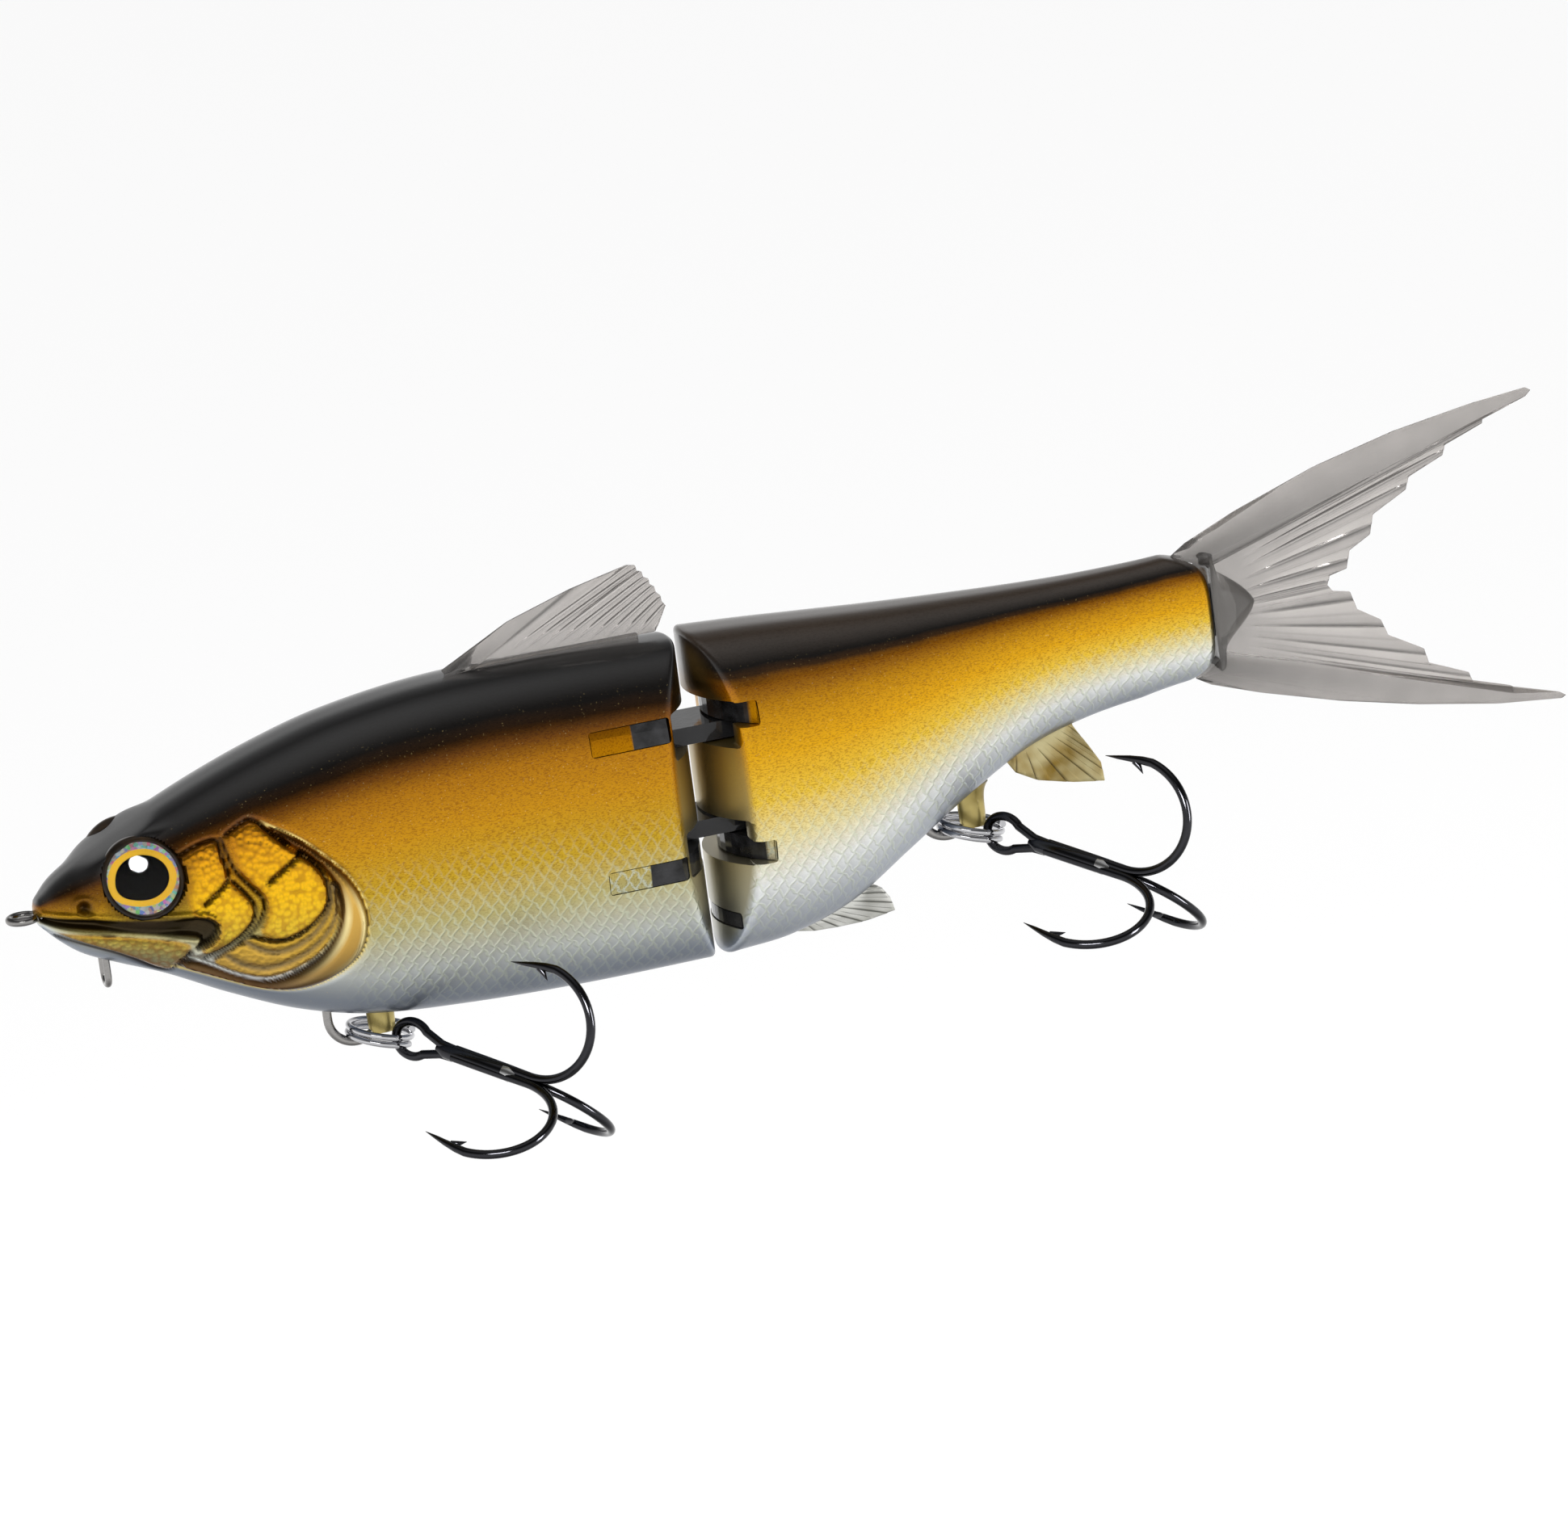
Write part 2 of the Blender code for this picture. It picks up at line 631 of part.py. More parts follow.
def front_body():
    places = [0.2, 1.0, 2.0, 4.5, 8.5, 14.0, 21.3, 29.5, 38.0, 47.0, 58.0, 70.0, 84.0]
    body = loft("front body blank", FRONT_STATIONS, places)
    combine(body, hanger_stub("belly stub", BELLY_HANGER, -19.0), "UNION")
    boss = prism("eye boss", arc((EYE_X, EYE_Z), 5.2, 0, 345, 24), -7.4, 7.4, "Y")
    combine(body, boss, "UNION")
    for label, low, high in (("left", -20, -4.8), ("right", 4.8, 20)):
        socket = prism(f"{label} eye socket", arc((EYE_X, EYE_Z), 4.75, 0, 345, 24), low, high, "Y")
        cut(body, socket)
    cut(body, loft("front cavity", FRONT_STATIONS, spread(19, 66, 7), WALL, 16))
    cut(body, face_cutter("front face", "front"), PIN_HOLES["front"], *slots("front", FRONT_PIN_X, 1))
    cut_insert_rooms(body, "front")
    for number, outline in enumerate(FIN_SLOTS["front"]):
        cut(body, prism(f"front fin slot {number}", outline, -0.8, 0.8, "Y"))
    cut(body, wire("line tie hole", nose_path(), TIE_RADIUS + 0.1, "Z_UP"))
    cut(body, wire("chin eye hole", chin_path(), 0.55))
    cut(body, *wire_holes(["belly"]))
    split(body, "front_body", (0.75, 0.45, 0.06))


def rear_body():
    places = [80.0, 84.0, 91.0, 99.0, 107.0, 112.0, 118.0, 124.0, 132.0, 141.0, 149.0]
    body = loft("rear body blank", REAR_STATIONS, places)
    combine(body, hanger_stub("rear stub", REAR_HANGER, -7.0), "UNION")
    cut(body, loft("rear cavity", REAR_STATIONS, spread(97, 134, 6), WALL, 16))
    cut(body, face_cutter("rear face", "rear"), PIN_HOLES["rear"], *slots("rear", REAR_PIN_X, -1))
    cut_insert_rooms(body, "rear")
    cut(body, prism("bumper room", bumper_outline(GAP), BUMPER_Z[0] - GAP, BUMPER_Z[1] + GAP))
    for number, outline in enumerate(FIN_SLOTS["rear"]):
        cut(body, prism(f"rear fin slot {number}", outline, -0.8, 0.8, "Y"))
    end = arc((TAIL_PIN_X, 0), TAIL_ROOT_RADIUS, 90, -90, 15)
    cut(body, prism("rear end", end + [(TAIL_PIN_X, -9), (160, -9), (160, 9), (TAIL_PIN_X, 9)], -20, 40))
    cut(body, block("tail tongue room", (141.2, -2.4, 5.1), (155, 2.4, 12.1)))
    cut(body, pin("tail pin room", TAIL_PIN_X, 0, 3.3, 13.9, 0.75), *wire_holes(["rear"]))
    split(body, "rear_body", (0.75, 0.50, 0.10))


def move_to_line_tie():
    for part in PARTS.objects:
        part.location -= Vector(TIE_FACE) * MM


make_joint()
make_wires()
make_tackle()
make_fins()
make_tail()
make_eyes()
make_weights()
front_body()
rear_body()
move_to_line_tie()
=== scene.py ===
"""Looks of the two-section jointed swimbait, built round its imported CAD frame.

Sizes are in millimetres from the tip of the nose: x towards the tail, y towards the right flank,
z towards the back.
"""

from math import cos, pi, radians, sin

import bmesh
import bpy
import numpy as np
from mathutils import Matrix, Vector


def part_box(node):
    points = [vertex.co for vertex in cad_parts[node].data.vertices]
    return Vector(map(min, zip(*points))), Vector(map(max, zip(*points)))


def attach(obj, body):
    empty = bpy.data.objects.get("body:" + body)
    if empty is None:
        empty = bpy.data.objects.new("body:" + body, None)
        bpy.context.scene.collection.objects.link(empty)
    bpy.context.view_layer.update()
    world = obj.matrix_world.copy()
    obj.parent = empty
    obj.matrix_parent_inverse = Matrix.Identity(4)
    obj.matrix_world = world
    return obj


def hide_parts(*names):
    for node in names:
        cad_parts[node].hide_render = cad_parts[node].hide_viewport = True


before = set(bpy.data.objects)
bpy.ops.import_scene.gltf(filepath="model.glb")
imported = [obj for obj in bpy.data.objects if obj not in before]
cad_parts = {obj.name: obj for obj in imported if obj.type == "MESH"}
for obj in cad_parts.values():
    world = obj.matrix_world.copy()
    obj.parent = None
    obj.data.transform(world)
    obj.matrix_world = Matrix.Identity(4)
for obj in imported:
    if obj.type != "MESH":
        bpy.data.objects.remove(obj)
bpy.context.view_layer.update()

# The CAD nose tip is 0.2 mm along this script's x, and the upper link's underside is 5.8 mm up.
NOSE = np.array(
    [
        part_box("front_body_left")[0].x * 1000 - 0.2,
        0.0,
        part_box("upper_link")[0].z * 1000 - 5.8,
    ]
)

# (distance from the nose, back height, belly height, half width)
FRONT_STATIONS = [
    (0.2, 1.6, -2.0, 2.0),
    (2.0, 3.2, -3.9, 3.9),
    (4.5, 4.7, -5.9, 5.4),
    (8.5, 6.7, -7.8, 7.0),
    (14.0, 9.2, -10.2, 8.4),
    (21.3, 12.2, -14.1, 9.7),
    (29.5, 15.0, -17.8, 10.8),
    (38.0, 17.2, -20.1, 11.4),
    (50.0, 18.8, -21.2, 11.7),
    (65.0, 19.1, -21.7, 11.7),
    (84.0, 18.5, -21.6, 11.4),
]
REAR_STATIONS = [
    (80.0, 19.1, -21.8, 11.4),
    (84.0, 18.9, -21.5, 11.2),
    (91.0, 18.5, -20.8, 10.8),
    (99.0, 17.9, -18.3, 10.1),
    (107.0, 17.3, -13.4, 9.0),
    (115.6, 16.8, -8.0, 7.6),
    (124.0, 16.4, -3.6, 6.3),
    (132.0, 16.2, -1.4, 5.3),
    (141.0, 16.3, -0.2, 4.6),
    (149.0, 16.5, 0.5, 4.2),
]
BACK_POWER = 3.0
BELLY_POWER = 2.4
SIDES = 360

FACE_RADIUS = 16.0
FRONT_FACE_X = 81.5
REAR_FACE_X = 82.5
FACE_FILLET = 0.6
TAIL_PIN_X = 143.5
TAIL_FACE_X = 149.2
TAIL_FACE_RADIUS = 9.0
GAP = 0.25
UPPER_LINK_Z = (5.8, 8.0)
LOWER_LINK_Z = (-5.9, -3.8)
UPPER_INSERT_Z = (8.3, 11.2)
LOWER_INSERT_Z = (-8.9, -6.2)
FRONT_PIN_X = 73.5
REAR_PIN_X = 90.5
LINK_ROOM = 7.2
BUMPER_SLOT = ((80.0, -7.1, -17.6), (85.2, 7.1, -15.5))
TONGUE_SLOT = ((141.2, -2.4, 5.1), (155, 2.4, 12.1))
PAINT_POWER = 2.6

EYE_X, EYE_Z = 12.1, 3.3
EYE_TURN, EYE_TILT = 0.16, 0.24
EYE_LIGHT = (-0.17, -0.85, 0.47)
SOCKET_RADIUS = 4.8
SOCKET_FLOOR = 4.6
BROW_WIDTH = 6.95
HEAD_END_X = 42
HANGER_RADIUS = 3.2
HANGER_WIRE = 0.57
HANGERS = {"belly": (36.4, -20.5), "rear": (112.9, -9.8)}
HANGER_TOPS = {"belly": (-17.0, -18.4), "rear": (-9.2, -6.6)}
RING_FROM_HANGER = (2.95, -2.6)
RING_PITCH = radians(15.0)
RING_RADIUS = 3.85
RING_WIRE = 0.41
HOOK_YAW = radians(52.6)
HOOK_PITCH = radians(12.9)
HOOK_ROLL = radians(11.7)
HOOK_RING_ANGLE = radians(50.9)
HOOK_WIRE = 0.56

# Head relief on the flank, as (x, z) lines and areas.
CHEEK_LINES = [
    [(15.9, 5.3), (18.9, 6.6), (21.4, 7.0), (21.3, 5.2), (22.1, 2.1), (20.4, 0.6), (18.6, -0.7)],
    [(22.3, 7.2), (24.1, 8.2), (25.7, 8.8), (27.2, 6.8), (29.1, 5.0)],
    [(21.7, 6.8), (22.5, 2.9), (24.2, 0.6), (25.7, -1.3), (25.3, -3.3), (23.0, -5.8), (19.1, -7.9)],
    [(22.3, 1.5), (23.7, -0.3), (24.6, -2.0), (24.1, -4.0), (21.5, -6.1), (18.0, -7.7)],
    [(30.6, 3.6), (28.5, 2.2), (26.4, 0.8)],
    [(30.6, 3.6), (32.4, 1.8), (33.5, -0.7), (33.3, -3.3), (30.8, -5.7), (27.0, -7.1), (23.6, -5.6)],
    [(1.6, -2.9), (5.0, -4.3), (9.0, -6.1), (13.0, -8.9), (14.5, -8.8), (16.3, -6.6)],
]
CRESCENT_LINES = [
    [(22.9, -6.3), (25.0, -7.9), (27.4, -8.3), (31.0, -6.8), (33.5, -3.6), (33.8, -1.0)],
    [(20.5, -7.7), (22.3, -9.3), (24.9, -10.3), (28.7, -9.5), (32.4, -7.2), (34.2, -4.2), (34.2, -1.2)],
]
GILL = [
    (33.4, 1.4), (34.5, -2.0), (34.2, -6.0), (31.8, -9.1), (28.4, -10.9), (25.0, -11.7), (21.6, -10.4),
    (18.3, -8.3), (20.0, -7.2), (24.0, -5.2), (27.0, -7.0), (30.8, -5.6), (33.2, -3.3), (33.4, -0.7),
    (32.4, 1.8),
]
OPERCLE = [
    (22.6, 7.3), (25.7, 8.7), (27.2, 6.8), (30.6, 3.6), (32.4, 1.8), (33.4, -0.7), (33.2, -3.3),
    (30.8, -5.6), (27.0, -7.0), (24.2, -5.6), (25.6, -3.3), (26.0, -1.3), (24.5, 0.6), (22.9, 2.9),
]
CHEEK = [
    (16.4, 5.2), (18.9, 6.4), (21.2, 6.8), (21.8, 2.1), (23.6, -0.5), (24.4, -2.0), (23.9, -4.0),
    (21.5, -6.0), (18.2, -7.5), (17.1, -6.3), (19.2, -5.2), (20.0, -3.8), (18.9, -2.6), (16.6, -2.3),
]
JAW = [
    (1.2, -2.1), (8.1, -2.9), (16.3, -4.9), (16.5, -6.2), (14.7, -8.6), (13.2, -8.8), (9.0, -6.0),
    (3.0, -3.3),
]
MOUTH = [
    (-0.5, -0.1), (6.9, -0.8), (14.0, -1.8), (17.4, -2.0), (19.2, -2.5), (20.2, -3.8), (19.4, -5.4),
    (17.2, -6.6), (16.6, -6.2), (17.6, -5.0), (16.5, -4.7), (8.1, -2.7), (-0.5, -1.5),
]
RIM = [
    (26.6, 8.0), (30.7, 5.6), (33.6, 2.7), (36.1, -0.1), (37.6, -3.5), (37.8, -7.0), (36.3, -10.6),
    (32.6, -12.9), (28.6, -13.8), (24.2, -13.0), (19.3, -10.6), (14.1, -8.2), (15.4, -7.0), (18.3, -8.4),
    (21.6, -10.6), (25.0, -11.9), (28.4, -11.0), (31.8, -9.2), (34.2, -6.0), (34.5, -2.0), (32.9, 1.8),
    (29.6, 4.4),
]
NOSTRIL = (4.9, 0.7)


# ---------------------------------------------------------------- mesh helpers


def turns(first, last, count):
    """Evenly spaced angles, given in degrees and returned in radians."""
    return np.radians(np.linspace(first, last, count))


def placed(points):
    """Points in this script's millimetres as points in the row frame, in metres."""
    return (np.asarray(points, float) + NOSE) * 0.001


def link_object(name, data):
    made = bpy.data.objects.new(name, data)
    bpy.context.scene.collection.objects.link(made)
    return made


def shade(mesh, sharp_angle):
    """Smooth shading that keeps edges over an angle, in degrees, sharp."""
    mesh.shade_smooth()
    mesh.set_sharp_from_angle(angle=radians(sharp_angle))


def evaluated_mesh(obj):
    """A new mesh of the object as its modifiers and bevel leave it."""
    bpy.context.view_layer.update()
    graph = bpy.context.evaluated_depsgraph_get()
    return bpy.data.meshes.new_from_object(obj.evaluated_get(graph))


def new_object(name, points, faces, sharp_angle=40):
    mesh = bpy.data.meshes.new(name)
    mesh.from_pydata(placed(points).tolist(), [], faces)
    shape = bmesh.new()
    shape.from_mesh(mesh)
    bmesh.ops.remove_doubles(shape, verts=shape.verts, dist=1e-7)
    bmesh.ops.recalc_face_normals(shape, faces=shape.faces)
    shape.to_mesh(mesh)
    shape.free()
    shade(mesh, sharp_angle)
    return link_object(name, mesh)


def skin(rings):
    """Faces between rings of equal length, with a cap on each end."""
    count = len(rings[0])
    faces = [
        (a * count + k, a * count + (k + 1) % count, (a + 1) * count + (k + 1) % count, (a + 1) * count + k)
        for a in range(len(rings) - 1)
        for k in range(count)
    ]
    faces.append(tuple(reversed(range(count))))
    faces.append(tuple(range((len(rings) - 1) * count, len(rings) * count)))
    return np.vstack(rings), faces


def coords(obj):
    """Vertex places in this script's millimetres."""
    found = np.empty(len(obj.data.vertices) * 3)
    obj.data.vertices.foreach_get("co", found)
    return found.reshape(-1, 3) * 1000 - NOSE


def set_attribute(obj, name, values):
    attribute = obj.data.attributes.new(name, "FLOAT", "POINT")
    attribute.data.foreach_set("value", np.asarray(values, np.float32))


def smooth(low, high, value):
    t = np.clip((value - low) / (high - low), 0, 1)
    return t * t * (3 - 2 * t)


def line_distance(points, line):
    """Distance of each (x, z) point from a line of straight pieces."""
    best = np.full(len(points), 1e9)
    for a, b in zip(line, line[1:]):
        a, b = np.array(a, float), np.array(b, float)
        along = np.clip(((points - a) @ (b - a)) / ((b - a) @ (b - a)), 0, 1)
        best = np.minimum(best, np.linalg.norm(points - a - along[:, None] * (b - a), axis=1))
    return best


def nearest_line(points, lines):
    """Distance of each (x, z) point from the nearest of several rounded lines."""
    return np.min([line_distance(points, rounded(line)) for line in lines], axis=0)


def inside(points, area):
    """Distance inside the area's edge, negative outside it."""
    ring = list(area) + [area[0]]
    crossings = np.zeros(len(points), int)
    for (ax, az), (bx, bz) in zip(ring, ring[1:]):
        spans = (az > points[:, 1]) != (bz > points[:, 1])
        crossing_x = ax + (points[:, 1] - az) * (bx - ax) / ((bz - az) or 1e-9)
        crossings += spans & (points[:, 0] < crossing_x)
    return np.where(crossings % 2 == 1, 1, -1) * line_distance(points, ring)


def rounded(line, passes=3):
    """Corners cut off, so that a line of few points draws as a curve."""
    for _ in range(passes):
        cut = [line[0]]
        for a, b in zip(line, line[1:]):
            a, b = np.array(a, float), np.array(b, float)
            cut += [tuple(0.75 * a + 0.25 * b), tuple(0.25 * a + 0.75 * b)]
        line = cut + [line[-1]]
    return line


def rounded_area(area, passes=3):
    return rounded(list(area) + [area[0]], passes)[1:-1]


def at(stations, x):
    """(back, belly, half width) at x, by a smooth curve through the stations."""
    last = len(stations) - 2
    k = max([i for i in range(last + 1) if stations[i][0] <= x] or [0])
    before, here = stations[max(k - 1, 0)], stations[k]
    there, after = stations[k + 1], stations[min(k + 2, last + 1)]
    span = there[0] - here[0]
    t = (x - here[0]) / span
    found = []
    for n in (1, 2, 3):
        slope_here = (there[n] - before[n]) / (there[0] - before[0]) * span
        slope_there = (after[n] - here[n]) / (after[0] - here[0]) * span
        found.append(
            (2 * t**3 - 3 * t**2 + 1) * here[n]
            + (t**3 - 2 * t**2 + t) * slope_here
            + (3 * t**2 - 2 * t**3) * there[n]
            + (t**3 - t**2) * slope_there
        )
    return found


def section(stations, x, inset=0.0):
    """(y, z) round a body at x, evenly spaced, starting on the right flank."""
    back, belly, half = at(stations, x)
    middle = (back + belly) / 2
    quarters = []
    for start, height, power in (
        (0, back - middle, BACK_POWER),
        (1, back - middle, BACK_POWER),
        (2, middle - belly, BELLY_POWER),
        (3, middle - belly, BELLY_POWER),
    ):
        turn = np.linspace(start * pi / 2, (start + 1) * pi / 2, 120)
        y, z = np.cos(turn), np.sin(turn)
        wide, tall = half - inset, height - inset
        reach = (np.abs(y / wide) ** power + np.abs(z / tall) ** power) ** (-1 / power)
        curve = np.stack([y * reach, middle + z * reach], 1)
        length = np.concatenate([[0], np.cumsum(np.linalg.norm(np.diff(curve, axis=0), axis=1))])
        even = np.linspace(0, length[-1], SIDES // 4 + 1)[:-1]
        quarters.append(np.stack([np.interp(even, length, curve[:, n]) for n in (0, 1)], 1))
    return np.vstack(quarters)


def flat_ring(stations, x):
    ring = section(stations, x)
    return np.column_stack([np.full(len(ring), x), ring])


def face_x(y, toward, face, radius):
    """x of the convex end of a body; toward is +1 where the body ends towards the tail."""
    centre = face - toward * radius
    return centre + toward * np.sqrt(np.maximum(radius**2 - y**2, 0.01))


def end_rings(stations, start, toward, face, radius, fillet, steps, corners=(0, 0)):
    """Rings that lead from a flat one at start to a rounded edge, and in over the curved end."""
    back, belly, _ = at(stations, face)

    def pull(z):
        """How much shorter the body is towards its upper and lower corners."""
        share = (2 * z - back - belly) / (back - belly)
        return np.where(share > 0, corners[0], corners[1]) * np.clip(np.abs(share), 0, 1) ** 5

    rings = []
    for share in np.linspace(0, 1, steps)[1:]:
        nominal = start + (face - toward * fillet - start) * share
        ring = flat_ring(stations, nominal)
        target = face_x(ring[:, 1], toward, face, radius) - toward * (fillet + pull(ring[:, 2]))
        ring[:, 0] = start + (target - start) * share
        rings.append(ring)
    for turn in np.radians([18, 36, 54, 72, 90]):
        yz = section(stations, face - toward * fillet, fillet * (1 - cos(turn)))
        x = face_x(yz[:, 0], toward, face, radius) - toward * (fillet * (1 - sin(turn)) + pull(yz[:, 1]))
        rings.append(np.column_stack([x, yz]))
    edge = rings[-1]
    middle = edge[:, 2].mean()
    for share in (0.93, 0.84, 0.72, 0.58, 0.44, 0.3, 0.16, 0.04):
        y = edge[:, 1] * share
        z = middle + (edge[:, 2] - middle) * share
        rings.append(np.column_stack([face_x(y, toward, face, radius) - toward * pull(z), y, z]))
    return rings


# ---------------------------------------------------------------- shells


def cut(obj, *boxes):
    """Cuts rounded boxes, each ((low x, y, z), (high x, y, z)), out of a shell."""
    for low, high in boxes:
        bpy.ops.mesh.primitive_cube_add(size=1)
        cutter = bpy.context.object
        low, high = placed([low])[0], placed([high])[0]
        cutter.data.transform(Matrix.Translation((low + high) / 2) @ Matrix.Diagonal((*(high - low), 1)))
        bevel = cutter.modifiers.new("corners", "BEVEL")
        bevel.width = 0.0004
        bevel.segments = 3
        subtract(obj, cutter)


def subtract(obj, cutter):
    bpy.context.view_layer.update()
    modifier = obj.modifiers.new("cut", "BOOLEAN")
    modifier.solver = "MANIFOLD"
    modifier.operation = "DIFFERENCE"
    modifier.object = cutter
    mesh = evaluated_mesh(obj)
    obj.modifiers.clear()
    obj.data = mesh
    bpy.data.objects.remove(cutter)
    shade(mesh, 40)


def head_relief(rings):
    """Moves the head's points in and out to carve its plates, mouth, nostril and gill rim."""
    points = np.vstack(rings)
    grid = points.reshape(-1, SIDES, 3)
    around = np.roll(grid, -1, axis=1) - np.roll(grid, 1, axis=1)
    normal = np.zeros_like(grid)
    normal[..., 1] = around[..., 2]
    normal[..., 2] = -around[..., 1]
    normal /= np.maximum(np.linalg.norm(normal, axis=2, keepdims=True), 1e-9)
    normal = normal.reshape(-1, 3)
    near = points[:, 0] < HEAD_END_X
    flat = points[near][:, [0, 2]]
    lift = 0.32 * smooth(0, 0.5, inside(flat, rounded_area(OPERCLE, 2)))
    lift += 0.26 * smooth(0, 0.5, inside(flat, rounded_area(CHEEK, 2)))
    lift += 0.35 * smooth(0, 0.5, inside(flat, rounded_area(JAW, 1)))
    rim = inside(flat, rounded_area(RIM))
    lift += 1.15 * np.sin(np.clip(rim / 1.5, 0, 1) * pi / 2)
    lift -= 0.30 * np.exp(-((rim / 0.35) ** 2))
    for line in CHEEK_LINES:
        lift -= 0.42 * np.exp(-((line_distance(flat, rounded(line)) / 0.26) ** 2))
    for line in CRESCENT_LINES:
        lift -= 0.30 * np.exp(-((line_distance(flat, rounded(line)) / 0.45) ** 2))
    mouth = inside(flat, rounded_area(MOUTH, 2))
    lift -= 0.85 * smooth(0, 0.7, mouth)
    lift += 0.30 * np.exp(-(((mouth + 0.3) / 0.35) ** 2))
    nostril = np.linalg.norm(flat - np.array(NOSTRIL), axis=1)
    lift += 0.25 * np.exp(-(((nostril - 1.1) / 0.35) ** 2)) - 0.7 * np.exp(-((nostril / 0.7) ** 2))
    away = np.abs(normal[near][:, 1])
    lift *= smooth(0.25, 0.6, away)
    moved = points.copy()
    moved[near] += normal[near] * lift[:, None]
    eye = np.hypot(moved[:, 0] - EYE_X, moved[:, 2] - EYE_Z)
    side = np.sign(moved[:, 1])
    brow = BROW_WIDTH + (moved[:, 0] - EYE_X) * EYE_TURN - (moved[:, 2] - EYE_Z) * EYE_TILT
    swell = (1 - smooth(SOCKET_RADIUS, 8.0, eye)) * smooth(1.0, 3.5, np.abs(moved[:, 1]))
    moved[:, 1] += side * swell * np.maximum(brow - np.abs(moved[:, 1]), 0)
    sunk = (eye < SOCKET_RADIUS) & (np.abs(points[:, 1]) > 4.3)
    moved[sunk, 1] = side[sunk] * SOCKET_FLOOR
    return list(moved.reshape(-1, SIDES, 3))


def mark_head(obj):
    """Stores where the head's plates, lines, mouth and gill rim lie."""
    flat = coords(obj)[:, [0, 2]]
    lines, crescents = (np.full(len(flat), 9.0) for _ in range(2))
    plates, gill, rim, mouth, edge = (np.full(len(flat), -9.0) for _ in range(5))
    head = flat[:, 0] < HEAD_END_X
    near = flat[head]
    lines[head] = nearest_line(near, CHEEK_LINES)
    crescents[head] = nearest_line(near, CRESCENT_LINES)
    plates[head] = np.max([inside(near, rounded_area(area, 2)) for area in (OPERCLE, CHEEK, JAW)], axis=0)
    gill[head] = inside(near, rounded_area(GILL, 2))
    rim[head] = inside(near, rounded_area(RIM))
    mouth[head] = inside(near, rounded_area(MOUTH, 2))
    edge[head] = line_distance(near, rounded(RIM[:12]))
    nostril = np.linalg.norm(flat - np.array(NOSTRIL), axis=1)
    dark = np.exp(-((lines / 0.30) ** 2)) + smooth(-0.1, 0.35, mouth) + np.exp(-((nostril / 0.8) ** 2))
    on_plates, on_gill = smooth(-0.1, 0.3, plates), smooth(-0.1, 0.3, gill)
    for name, values in {
        "dark": np.clip(dark, 0, 1),
        "gill": on_gill * (1 - on_plates),
        # Painted shadow: grey lines along the crescent grooves.
        "crescents": np.exp(-((crescents / 0.42) ** 2)),
        "plates": np.maximum(on_plates, 0.95 * on_gill),
        # Painted shade towards the plates' edges.
        "plate_edge_shade": 1 - smooth(0.1, 1.1, plates),
        "rim": smooth(-0.15, 0.25, rim),
        "rim_depth": rim,
        "rim_line": np.where(rim < 0.12, np.exp(-((edge / 0.16) ** 2)), 0),
        "snout": smooth(-17, -4, -flat[:, 0]) * smooth(-1.5, 2.0, flat[:, 1]),
    }.items():
        set_attribute(obj, name, values)


def mark_paint(obj, stations):
    """Stores each point's share of the height, its distance from the eye and whether it is inside a cut."""
    points = coords(obj)
    x, y, z = points.T
    xs = np.linspace(stations[0][0], stations[-1][0], 200)
    table = np.array([at(stations, place) for place in xs])
    back, belly, half = (np.interp(x, xs, table[:, n]) for n in range(3))
    set_attribute(obj, "height", (z - belly) / (back - belly))
    set_attribute(obj, "eye", np.hypot(x - EYE_X, z - EYE_Z))
    middle, tall = (back + belly) / 2, (back - belly) / 2
    off_middle = (np.abs(y) / half) ** PAINT_POWER + (np.abs(z - middle) / tall) ** PAINT_POWER
    depth = 1 - off_middle ** (1 / PAINT_POWER)
    set_attribute(obj, "inner", smooth(0.05, 0.12, depth) * smooth(66, 68, x) * smooth(-152, -140, -x))


def slot_boxes(pin_x, toward):
    """The room that each link plate turns in, and the full-width opening in front of each insert."""
    near, far = pin_x - toward * 5.2, pin_x + toward * 14.0
    mouth = pin_x + toward * 4.4
    boxes = []
    for link, insert in ((UPPER_LINK_Z, UPPER_INSERT_Z), (LOWER_LINK_Z, LOWER_INSERT_Z)):
        bottom, top = min(link[0], insert[0]) - GAP, max(link[1], insert[1]) + GAP
        low_x, high_x = sorted((near, far))
        boxes.append(((low_x, -LINK_ROOM, link[0] - GAP), (high_x, LINK_ROOM, link[1] + GAP)))
        low_x, high_x = sorted((mouth, far))
        boxes.append(((low_x, -15, bottom), (high_x, 15, top)))
    return boxes


def front_shell():
    tip_xs = [0.2, 0.35, 0.6, 0.9, 1.2, 1.5]
    xs = np.concatenate([tip_xs, np.arange(1.8, 44, 0.30), np.linspace(44.6, 62, 30)])
    rings = [flat_ring(FRONT_STATIONS, x) for x in xs]
    tip = rings[0]
    middle = tip.mean(axis=0)
    steps = ((0.1, 0.6), (0.5, 0.5), (0.85, 0.25))
    nose = [middle + (tip - middle) * share - (out, 0, 0) for share, out in steps]
    rings = nose + head_relief(rings)
    rings += end_rings(FRONT_STATIONS, xs[-1], 1, FRONT_FACE_X, FACE_RADIUS, FACE_FILLET, 34)
    shell = new_object("front_shell", *skin(rings))
    cut(shell, *slot_boxes(FRONT_PIN_X, 1))
    for heights in (UPPER_INSERT_Z, LOWER_INSERT_Z):
        cut(shell, ((67.4, -16, heights[0] - 0.1), (77.6, 16, heights[1] + 0.1)))
    mark_paint(shell, FRONT_STATIONS)
    mark_head(shell)
    paint = body_paint("front_paint", FRONT_BANDS)
    dress(shell, "front", "body", paint, "front_body_left", "front_body_right")


